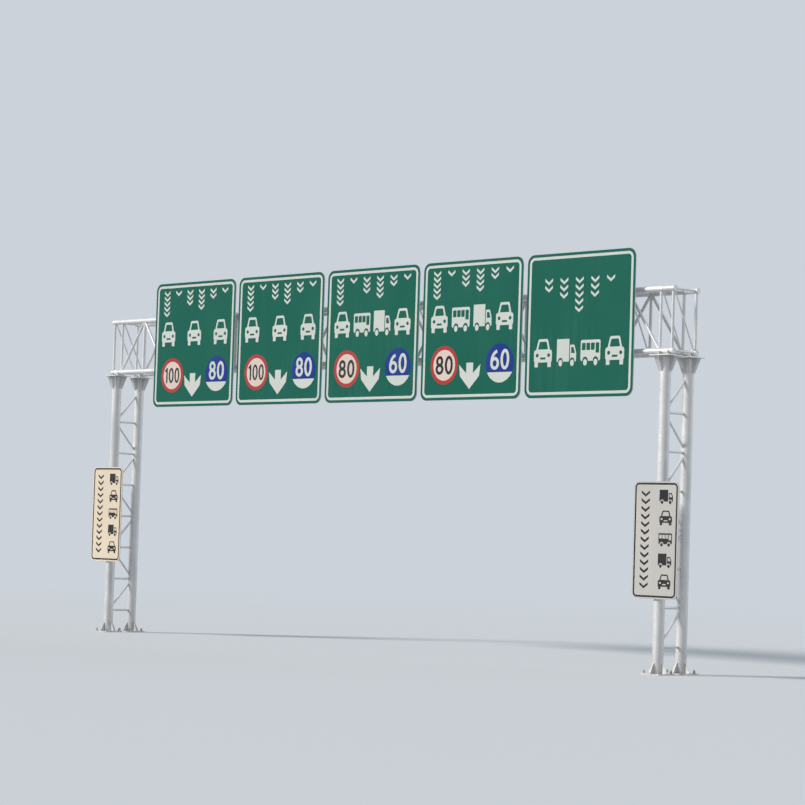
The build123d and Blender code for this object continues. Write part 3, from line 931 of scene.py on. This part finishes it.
# %% [markdown]
# ## Sign faces
#
# The faces are cut film. A roundel is a disc, a ring and numerals; the numerals are strokes along
# ellipses and lines. Pictures of vehicles and rows of chevrons, all of them plain and general, tell
# whose lane it is, and give the faces their balance of light and dark.

# %% Numerals
NUMERAL_WIDTH = {"0": 0.54, "1": 0.32, "6": 0.54, "8": 0.54}
NUMERAL_STROKE = 0.15
NUMERAL_GAP = 0.10
OVERLAP_STEP = 0.2  # crossing strokes lie this share of a film's thickness apart


def ellipse(centre, radii, start=0.0, end=2 * pi, steps=40):
    """Points centre + (a cos t, b sin t). A full turn leaves out the point that would repeat."""
    t = np.linspace(start, end, steps, endpoint=end - start < 2 * pi)
    return centre + np.multiply(radii, np.column_stack([np.cos(t), np.sin(t)]))


def numeral(sign):
    """The strokes of a numeral of height 1 about (0, 0), as pairs of a path and whether it closes."""
    if sign == "0":
        return [(ellipse((0, 0), (0.20, 0.435)), True)]
    if sign == "1":
        stem, flag = np.array([[(0.05, -0.5), (0.05, 0.5)], [(-0.15, 0.27), (0.03, 0.40)]])
        return [(stem, False), (flag, False)]
    if sign == "6":
        stem = ellipse((0.24, -0.16), (0.44, 0.595), pi, 0.57 * pi, 20)
        return [(ellipse((0, -0.195), (0.20, 0.24)), True), (stem, False)]
    return [(ellipse((0, -0.215), (0.20, 0.22)), True), (ellipse((0, 0.225), (0.17, 0.21)), True)]


def numerals(text, centre, size, layer):
    """A number about a centre: its numerals side by side, each scaled to the width and height."""
    left = -(sum(NUMERAL_WIDTH[sign] for sign in text) + NUMERAL_GAP * (len(text) - 1)) / 2
    shapes = []
    for sign in text:
        width = NUMERAL_WIDTH[sign]
        for level, (path, closed) in enumerate(numeral(sign)):
            place = (path + [left + width / 2, 0]) * size + centre
            shapes.append(stroke(place, NUMERAL_STROKE * size[0], layer + OVERLAP_STEP * level, closed))
        left += width + NUMERAL_GAP
    return joined(shapes)


# %% Outlines
def mirrored(half):
    """A closed outline from its right half, which starts on the axis."""
    half = np.array(half, float)
    return np.concatenate([half, half[:0:-1] * [-1, 1]])


def softened(corners, radius, steps=8):
    """A polygon with rounded corners: near a corner P its outline is the curve
    (1-t)^2 A + 2t(1-t) P + t^2 B, with A and B the points at the radius on either side of P."""
    corners = np.asarray(corners, float)
    before, after = (corners + radius * unit(np.roll(corners, step, axis=0) - corners) for step in (1, -1))
    t = np.linspace(0, 1, steps + 1)[:, None]
    curve = (1 - t) ** 2 * before[:, None] + 2 * t * (1 - t) * corners[:, None] + t**2 * after[:, None]
    return curve.reshape(-1, 2)


def oblong(left, low, right, high, radius=0.03):
    """A rectangle with rounded corners, from its four sides."""
    return softened([(left, low), (right, low), (right, high), (left, high)], radius)


def rounds(centres, height, radii, steps=32):
    """Discs or ovals at one height."""
    return [ellipse((x, height), radii, steps=steps) for x in centres]


# %% Vehicles in outline
ARCH_HEIGHT, WHEEL_HEIGHT, WHEEL = 0.17, 0.115, (0.095, 0.11)


def car_front():
    """A car from the front, 1 wide and 1 high: its body, then glass, lamps and grille laid on it."""
    cabin = softened([(0.13, 0.55), (0.87, 0.55), (0.74, 0.95), (0.26, 0.95)], 0.06)
    tyres = [oblong(left, 0.0, left + 0.18, 0.20) for left in (0.07, 0.75)]
    glass = softened([(0.24, 0.60), (0.76, 0.60), (0.68, 0.86), (0.32, 0.86)], 0.04)
    lamps = rounds((0.20, 0.80), 0.40, (0.075, 0.065), 28)
    body = [oblong(0.03, 0.16, 0.97, 0.58, 0.10), cabin, *tyres]
    return body, [glass, *lamps, oblong(0.36, 0.26, 0.64, 0.33, 0.02)], []


def side_view(body, glass, wheels, arch):
    """A vehicle from the side: its body, the glass and wheel arches laid on it, and the wheels."""
    return body, [*glass, *rounds(wheels, ARCH_HEIGHT, arch)], rounds(wheels, WHEEL_HEIGHT, WHEEL)


def coach_side():
    """A coach, with its row of windows and its tall front window."""
    windows = [oblong(left, 0.52, left + 0.19, 0.76) for left in (0.06, 0.29, 0.52)]
    body = [oblong(0.0, 0.16, 1.0, 0.86, 0.08)]
    return side_view(body, [*windows, oblong(0.76, 0.42, 0.94, 0.76)], (0.24, 0.77), 0.135)


def lorry_side():
    """A lorry, with a box body and a cab with its window."""
    cab = softened([(0.68, 0.16), (1.0, 0.16), (1.0, 0.46), (0.90, 0.72), (0.68, 0.72)], 0.04)
    glass = softened([(0.74, 0.44), (0.94, 0.44), (0.86, 0.64), (0.74, 0.64)], 0.02)
    return side_view([oblong(0.0, 0.16, 0.64, 0.92, 0.03), cab], [glass], (0.20, 0.80), 0.125)


VEHICLES = {"car": car_front(), "coach": coach_side(), "lorry": lorry_side()}
print("vehicles drawn", list(VEHICLES))

# %% Rows of vehicles and columns of chevrons
PICTURE_STEP = 0.15
CHEVRON = 0.42


def vehicles(kinds, places, size):
    """Vehicles of one size at their lower left corners: first the films laid on the sign, with the
    wheels, then those laid on these. Films that overlap lie a small step apart."""
    below, above = [], []
    for kind, place in zip(kinds, places):
        body, details, wheels = VEHICLES[kind]
        for films, outlines, layer in ((below, body, 0), (below, wheels, 2), (above, details, 1)):
            for level, outline in enumerate(outlines):
                films.append(flat_film(outline * size + place, layer + PICTURE_STEP * level))
    return joined(below), joined(above)


def chevrons(counts, region, size):
    """Columns of chevrons that hang from one line, spread over a region, each with its own count. A
    chevron points down: two broad slanted strokes that meet."""
    left, low, right, high = region
    side = 0.5 - CHEVRON
    outline = [(0, -0.5), (0.5, side), (0.5, 0.5), (0, -side), (-0.5, 0.5), (-0.5, side)]
    outline, hub = np.multiply(outline, size), np.multiply((0, 0.5 * CHEVRON - 0.5), size)
    step = (high - low - size[1]) / (max(counts) - 1)
    columns = np.linspace(left + size[0] / 2, right - size[0] / 2, len(counts))
    places = [
        (x, high - size[1] / 2 - step * level)
        for x, count in zip(columns, counts)
        for level in range(count)
    ]
    return joined(flat_film(outline + place, 0, hub + place) for place in places)


# %% [markdown]
# Each sign is laid out from its lower left corner. The four lane signs share one layout and differ
# in their numbers and vehicles; the fifth, over the hard shoulder, has larger pictures and no limits.

# %% Laying the films on a sign
def face_size(node):
    """A sign's width and height."""
    low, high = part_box(node)
    return high.x - low.x, high.z - low.z


def border(size, inset, band, corner):
    """A closed band of film at an even distance from the sign's edge."""
    path = rounded_rectangle(*size, inset, corner)
    return moved(stroke(path, band, 0, closed=True), (size[0] / 2, 0, size[1] / 2))


def lay_sign(node, label, tag, corner, ground, films):
    """A whole sign: its tray, which stands for the node, the film over all of its face, and the
    films laid on that, a dictionary of name, shape and material."""
    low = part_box(node)[0]
    size = face_size(node)
    centre = (low.x + size[0] / 2, low.y, low.z + size[1] / 2)
    piece(label + "sheet" + tag, moved(tray(*size, corner), centre), ALUMINIUM, [node])
    whole = flat_film(rounded_rectangle(*size, SHEET / 2, corner), 0)
    piece(label + "face" + tag, moved(whole, centre), ground)
    for name, (shape, material) in films.items():
        piece(name + tag, moved(shape, (low.x, low.y - FILM, low.z)), material)


# %% [markdown]
# A row of flat rivets shows through the film in front of every rail. A rivet's head is a low dome of
# ten sides, the same for all, so five signs need only one small profile.

# %% Rivets
RAIL_COUNT = 6
RAIL_EDGE_GAP = 0.2
RIVETS_ALONG = 16
RIVET_MARGIN = 0.19
RIVET_RADIUS = 0.007
RIVET_HEIGHT = 0.00055
RIVET_DOME = [(1, 0), (0.8, 0.7), (0.3, 1)]
RIVET_SIDES = 10


def rail_levels(node):
    """The heights of a sign's rails, evenly spaced between its lower and upper edge."""
    low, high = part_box(node)
    return np.linspace(low.z + RAIL_EDGE_GAP, high.z - RAIL_EDGE_GAP, RAIL_COUNT)


def rivets(node):
    """The rivets of a sign, one row to a rail."""
    low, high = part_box(node)
    dome = turned(np.multiply(RIVET_DOME, (RIVET_RADIUS, RIVET_HEIGHT)), RIVET_SIDES)
    along = np.linspace(low.x + RIVET_MARGIN, high.x - RIVET_MARGIN, RIVETS_ALONG)
    return copies(dome, grid_of(along, [low.y - FILM], rail_levels(node)), (0, -1, 0))


# %% What stands on the main signs
# a region is left, low, right and high, measured from a sign's lower left corner
Layout = namedtuple("Layout", "vehicles chevrons chevron_counts")
LANE = Layout((0.30, 1.76, 3.31, 2.50), (0.38, 2.62, 3.26, 3.38), (5, 1, 3, 4, 2, 1))
SHOULDER = Layout((0.28, 0.77, 3.32, 1.51), (0.62, 2.10, 2.94, 2.98), (2, 3, 5, 3, 1))
# for each sign, its two speeds, its vehicles from left to right, and its layout
SIGNS = [
    (("100", "80"), ("car", "car", "car"), LANE),
    (("100", "80"), ("car", "car", "car"), LANE),
    (("80", "60"), ("car", "coach", "lorry", "car"), LANE),
    (("80", "60"), ("car", "coach", "lorry", "car"), LANE),
    (None, ("car", "lorry", "coach", "car"), SHOULDER),
]

# %% Arrow and roundels
ARROW_OUTLINE = [(0, -0.345), (0.345, -0.01), (0.385, 0.285), (0.122, 0.065), (0.122, 0.335)]
ARROW_HUB = (0, -0.105)
ROUNDEL_RADIUS = 0.50
ROUNDEL_STEPS = 96
RED_RING = 0.10
LIMIT_SIZE = {2: (0.53, 0.47), 3: (0.41, 0.44)}  # by the count of numerals
MINIMUM_SIZE = (0.56, 0.51)
NUMBER_RAISE = 0.09
LIMIT_CENTRE = (0.855, 0.91)
MINIMUM_CENTRE = (2.86, 0.92)
ARROW_CENTRE = (1.79, 0.62)
WHITE_SEGMENT = radians(28)
SEGMENT_STEPS = 48


def lane_films(limit, minimum):
    """The arrow, the red ring with the limit, and the blue disc with the lowest speed, whose part
    below a level line is white."""
    red_middle = ROUNDEL_RADIUS - RED_RING / 2
    disc = ellipse(LIMIT_CENTRE, red_middle, steps=ROUNDEL_STEPS)
    blue = ellipse(MINIMUM_CENTRE, ROUNDEL_RADIUS, steps=ROUNDEL_STEPS)
    lower = pi + WHITE_SEGMENT, 2 * pi - WHITE_SEGMENT
    segment = ellipse(MINIMUM_CENTRE, ROUNDEL_RADIUS, *lower, SEGMENT_STEPS)
    above = (MINIMUM_CENTRE[0], MINIMUM_CENTRE[1] + NUMBER_RAISE)
    arrow, hub = mirrored(ARROW_OUTLINE) + ARROW_CENTRE, np.add(ARROW_HUB, ARROW_CENTRE)
    return {
        "arrow": (flat_film(arrow, 0, hub), WHITE),
        "limit_disc": (flat_film(disc, 0), PALE),
        "limit_ring": (stroke(disc, RED_RING, 1, closed=True), RED),
        "limit_number": (numerals(limit, LIMIT_CENTRE, LIMIT_SIZE[len(limit)], 1), BLACK),
        "minimum_disc": (flat_film(blue, 0), BLUE),
        "minimum_number": (numerals(minimum, above, MINIMUM_SIZE, 1), WHITE),
        "minimum_segment": (flat_film(segment, 1), WHITE),
    }


# %% The five main signs
PANEL_CORNER = 0.22
BORDER_INSET, BORDER_WIDTH, BORDER_CORNER = 0.108, 0.068, 0.13
VEHICLE_WIDTH = 0.65
CHEVRON_SIZE = (0.26, 0.17)

for number, (speeds, kinds, layout) in enumerate(SIGNS, 1):
    tag = "_" + str(number)
    node = "sign_panel" + tag
    edge = border(face_size(node), BORDER_INSET, BORDER_WIDTH, BORDER_CORNER)
    left, low, right, high = layout.vehicles
    places = [(x, low) for x in np.linspace(left, right - VEHICLE_WIDTH, len(kinds))]
    below, above = vehicles(kinds, places, (VEHICLE_WIDTH, high - low))
    films = {
        "border": (edge, WHITE),
        **(lane_films(*speeds) if speeds else {}),
        "chevrons": (chevrons(layout.chevron_counts, layout.chevrons, CHEVRON_SIZE), WHITE),
        "vehicles": (below, WHITE),
        "vehicle_details": (above, GREEN),
    }
    lay_sign(node, "sign_", tag, PANEL_CORNER, GREEN, films)
    piece("rivets" + tag, rivets(node), GREEN)
print("pieces so far", len(made))

# %% [markdown]
# The tall signs on the legs are the same trays with white film, a thin dark line near the edge, a
# column of chevrons and a column of pictures. The left one's cream is painted warm low sunlight, and
# the right one's white is greyed as painted shade.

# %% The two leg signs
LEG_SIGN_CORNER = 0.15
LEG_BORDER_INSET = 0.058
LEG_BORDER_WIDTH = 0.045
LEG_PICTURES = ("car", "lorry", "coach", "car", "lorry")
LEG_PICTURE_X = 0.80
LEG_PICTURE_SIZE = (0.42, 0.37)
LEG_MARKS_LOW = 0.24
LEG_PICTURE_TOP_GAP = 0.17
LEG_CHEVRONS_LEFT, LEG_CHEVRONS_RIGHT = 0.24, 0.54
LEG_CHEVRONS_TOP_GAP = 0.22
LEG_CHEVRON_COUNT = 13
LEG_CHEVRON_SIZE = (0.26, 0.15)

# face is the leg film with painted light: warm painted sunlight on the left, greyed painted shade on the
# right
for side, face in (("left", LEG_CREAM_PAINTED_SUNLIGHT), ("right", LEG_WHITE_PAINTED_SHADE)):
    node = "leg_sign_" + side
    size = face_size(node)
    top = size[1] - LEG_PICTURE_TOP_GAP - LEG_PICTURE_SIZE[1]
    places = [(LEG_PICTURE_X, z) for z in np.linspace(LEG_MARKS_LOW, top, len(LEG_PICTURES))]
    below, above = vehicles(LEG_PICTURES, places, LEG_PICTURE_SIZE)
    region = (LEG_CHEVRONS_LEFT, LEG_MARKS_LOW, LEG_CHEVRONS_RIGHT, size[1] - LEG_CHEVRONS_TOP_GAP)
    column = chevrons([LEG_CHEVRON_COUNT], region, LEG_CHEVRON_SIZE)
    edge = border(size, LEG_BORDER_INSET, LEG_BORDER_WIDTH, LEG_SIGN_CORNER - LEG_BORDER_INSET)
    films = {
        "leg_border": (edge, BLACK),
        "leg_marks": (joined([below, column]), BLACK),
        "leg_mark_details": (above, face),
    }
    lay_sign(node, "leg_", "_" + side, LEG_SIGN_CORNER, face, films)
    print("leg sign", side, "is", size)

# %% [markdown]
# ## Fixings of the signs
#
# Behind each sign, two I-posts stand on the front chords. Pairs of U-bolts tie each post round a
# chord, and short bolts hold every rail to the post's front flange. A U-bolt is one path, straight,
# half round the chord and straight again, with a circle carried along it.

# %% U-bolts and rail bolts
POST_FLANGE = 0.008
POST_BACK = CHORD_RADIUS + 0.03
POST_DEPTH = 0.12
SADDLE_HALF_WIDTH = 0.045
BOLT_ASIDE = 0.022
SIGN_BOLT = 0.012
SKIN_GAP = 0.0005
U_BOLT_END = 0.022
U_BOLT_SIDES, U_BEND_STEPS = 8, 15
RAIL_THREAD_END, RAIL_THREAD_PITCH = 0.018, 0.002


def u_bolt():
    """A U-bolt about a chord's axis, open towards -Y. With bend radius R, the path is
    (0, y, R), then (0, R cos a, R sin a) over the back, then (0, y, -R)."""
    bend = CHORD_RADIUS + SIGN_BOLT / 2 + SKIN_GAP
    flange = -(POST_BACK + POST_FLANGE)
    turn = np.linspace(pi / 2, -pi / 2, U_BEND_STEPS)
    arc = points_of(0, bend * np.cos(turn), bend * np.sin(turn))
    path = np.concatenate([[(0, flange - U_BOLT_END, bend)], arc, [(0, flange - U_BOLT_END, -bend)]])
    out = np.cross(unit(np.gradient(path, axis=0)), X_AXIS)
    nut_places = [(0, flange, side * bend) for side in (-1, 1)]
    nuts = copies(on_washer(SIGN_BOLT, NUT * SIGN_BOLT), nut_places, (0, -1, 0))
    return joined([rod(path, out, X_AXIS, SIGN_BOLT / 2, U_BOLT_SIDES), nuts])


posts = [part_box("sign_posts_" + str(number)) for number in range(1, len(SIGNS) + 1)]
post_x = [x for low, high in posts for x in (low.x + SADDLE_HALF_WIDTH, high.x - SADDLE_HALF_WIDTH)]
bolt_x = either_side(post_x, BOLT_ASIDE)
u_places = grid_of(bolt_x, [FRONT], [LOW_Z, HIGH_Z])
piece("u_bolts", copies(u_bolt(), u_places), BOLT)

flange_inside = FRONT - POST_BACK - POST_DEPTH + POST_FLANGE
rail_nut = joined([
    on_washer(SIGN_BOLT, NUT * SIGN_BOLT),
    thread(SIGN_BOLT / 2, -POST_FLANGE, RAIL_THREAD_END, RAIL_THREAD_PITCH),
])
rail_places = grid_of(bolt_x, [flange_inside], rail_levels("sign_panel_1"))
piece("rail_bolts", copies(rail_nut, rail_places, (0, 1, 0)), BOLT)
print("U-bolts", len(u_places), "rail bolts", len(rail_places))

# %% [markdown]
# The leg signs hang on straps. A strap is a flat bar bent round the back of the column, and its two
# ends turn out into ears that are bolted to the rail. In plan it is one path, so it is a ribbon: the
# path moved half a thickness either way, at the strap's lower and upper edge.

# %% Straps of the leg signs
STRAP = 0.005
STRAP_HEIGHT = 0.05
STRAP_EAR = 0.06
STRAP_BEND = 0.012
QUARTER_STEPS, BEND_STEPS = 16, 5
CLAMP_GAP = 0.02
EAR_NUT = 0.01


def strap():
    """A strap about the column's axis at Z = 0, and the bolts of its two ears. Its path has half the
    column's circle, the straight runs forward beside it, and an ear out at each end."""
    reach = COLUMN_RADIUS + SKIN_GAP + STRAP / 2
    ear_y = -(COLUMN_RADIUS + CLAMP_GAP) + STRAP / 2
    quarter = ellipse((0, 0), reach, 0, pi / 2, QUARTER_STEPS)
    bend = ellipse((reach + STRAP_BEND, ear_y + STRAP_BEND), STRAP_BEND, 1.5 * pi, pi, BEND_STEPS)
    right = np.concatenate([[(reach + STRAP_EAR, ear_y)], bend, quarter])
    path = np.concatenate([right, right[-2::-1] * [-1, 1]])
    ear_x = reach + STRAP_EAR / 2
    bolt_places = [(side * ear_x, ear_y + STRAP / 2, 0) for side in (-1, 1)]
    bolts = copies(on_washer(SIGN_BOLT, EAR_NUT), bolt_places, (0, 1, 0))
    return ribbon(path, STRAP, (-STRAP_HEIGHT / 2, STRAP_HEIGHT / 2), in_plan), bolts


strap_shape, ear_bolts = strap()
for side, x in LEG_X.items():
    node = frame["nodes"]["leg_sign_clamps_" + side]
    heights = np.unique([round(vertex.co.z, 4) for vertex in node.data.vertices])
    levels = (heights[0::2] + heights[1::2]) / 2
    places = grid_of([x], [FRONT], levels)
    piece("leg_straps_" + side, copies(strap_shape, places), STEEL)
    piece("leg_strap_bolts_" + side, copies(ear_bolts, places), BOLT)
    print("straps on the", side, "leg at", levels)

# %% [markdown]
# ## Stage
#
# The background is pale and plain. The floor keeps the gantry's shadow near its feet and fades into
# the background colour farther out, so no edge of it shows. The world lights the object evenly, and
# only the camera and mirror-like rays see its pale colour. A warm sun stands low in front on the
# left, and a weak, soft lamp behind on the right keeps the back of the signs from going black.

# %% Floor and world
BACKGROUND = (0.60, 0.645, 0.70, 1)
SKY_LIGHT, SKY_STRENGTH = (0.86, 0.93, 1.0, 1), 0.42
FLOOR_SIZE = 900.0
FADE_START, FADE_END = 22.0, 75.0
FLOOR_COLOUR = (0.67, 0.705, 0.74, 1)
FLOOR_BOUNCE = (0.26, 0.26, 0.26, 1)


def seen(tree):
    """1 for rays that show the stage, straight or in a reflection, and 0 for rays that only light."""
    rays = add(tree, "LightPath").outputs
    direct = calc(tree, "MAXIMUM", rays["Is Camera Ray"], rays["Is Glossy Ray"])
    return calc(tree, "MAXIMUM", direct, rays["Is Transmission Ray"])


def blend_shaders(tree, factor, first, second, end):
    """Two shaders mixed by a factor, as the surface of an output node."""
    mix = add(tree, "MixShader", {0: factor, 1: first.outputs[0], 2: second.outputs[0]})
    feed(tree, end, {"Surface": mix.outputs[0]})


def make_floor():
    """A plane that is plain floor near the middle and glows with the background's colour far out."""
    half = FLOOR_SIZE / 2
    corners = [(x * half, y * half, 0) for x, y in ((-1, -1), (1, -1), (1, 1), (-1, 1))]
    mesh = bpy.data.meshes.new("floor")
    mesh.from_pydata(corners, [], [(0, 1, 2, 3)])
    placed("floor", mesh)
    material, tree, shader = principled("floor")
    distance = add(tree, "VectorMath", {0: coordinates(tree)}, operation="LENGTH").outputs["Value"]
    shown = seen(tree)
    fade = calc(tree, "MULTIPLY", spread(tree, distance, FADE_START, FADE_END), shown)
    feed(tree, shader, {"Roughness": 0.9, "Base Color": mixed(tree, shown, FLOOR_BOUNCE, FLOOR_COLOUR)})
    glow = add(tree, "Emission", {"Color": BACKGROUND, "Strength": 1.0})
    blend_shaders(tree, fade, shader, glow, tree.nodes["Material Output"])
    mesh.materials.append(material)


def make_world():
    """Even light for the object, and the pale background for the camera and for reflections."""
    world = bpy.data.worlds.new("studio")
    bpy.context.scene.world = world
    world.use_nodes = True
    tree = world.node_tree
    tree.nodes.clear()
    lighting = add(tree, "Background", {"Color": SKY_LIGHT, "Strength": SKY_STRENGTH})
    shown = add(tree, "Background", {"Color": BACKGROUND, "Strength": 1.0})
    blend_shaders(tree, seen(tree), lighting, shown, add(tree, "OutputWorld"))


make_floor()
make_world()
print("stage", FLOOR_SIZE, "wide, in", bpy.context.scene.world.name)

# %% Lamps
def make_sun(name, energy, spread_angle, colour, tilt, heading):
    """A lamp whose rays are parallel. It stands tilt away from straight up, and round the gantry by
    the heading from straight in front; a wider spread angle gives a softer edge of shadow."""
    light = bpy.data.lights.new(name, "SUN")
    light.energy = energy
    light.angle = radians(spread_angle)
    light.color = colour
    lamp = placed(name, light)
    lamp.rotation_euler = (radians(tilt), 0, radians(heading))


make_sun("sun", energy=2.8, spread_angle=12, colour=(1.0, 0.955, 0.89), tilt=61, heading=-34)
make_sun("fill", energy=0.45, spread_angle=50, colour=(0.93, 0.96, 1.0), tilt=66, heading=150)
print("lamps", [light.name for light in bpy.data.lights])

# %% [markdown]
# ## Camera
#
# The photograph was taken from near the right leg and then squeezed to a square, so no plain camera
# at its true place repeats its outline. A long lens farther round to the right does: its place was
# found by fitting the corners of the signs and the legs to where they lie in the photograph.

# %% Camera
CAMERA_PLACE = (51.52, -47.91, 3.042)
CAMERA_YAW, CAMERA_PITCH, CAMERA_ROLL = radians(46.408), radians(2.991), radians(1.819)
LENS, SENSOR_WIDTH = 116.5, 36
FAR_ENOUGH = 1000

camera_data = bpy.data.cameras.new("camera")
camera_data.lens = LENS
camera_data.sensor_width = SENSOR_WIDTH
camera_data.clip_end = FAR_ENOUGH
camera = placed("camera", camera_data)
aim = Matrix.Rotation(CAMERA_YAW, 3, "Z") @ Matrix.Rotation(pi / 2 + CAMERA_PITCH, 3, "X")
aim = aim @ Matrix.Rotation(CAMERA_ROLL, 3, "Z")
camera.matrix_world = Matrix.Translation(CAMERA_PLACE) @ aim.to_4x4()
bpy.context.scene.camera = camera
bpy.context.scene.view_settings.view_transform = "Standard"
print("camera at", CAMERA_PLACE, "with a lens of", LENS)

# %% Sizes kept, and the finish
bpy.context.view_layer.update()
largest = max(made.items(), key=lambda item: item[1])
print("pieces", len(made), "triangles", sum(made.values()), "largest", largest)
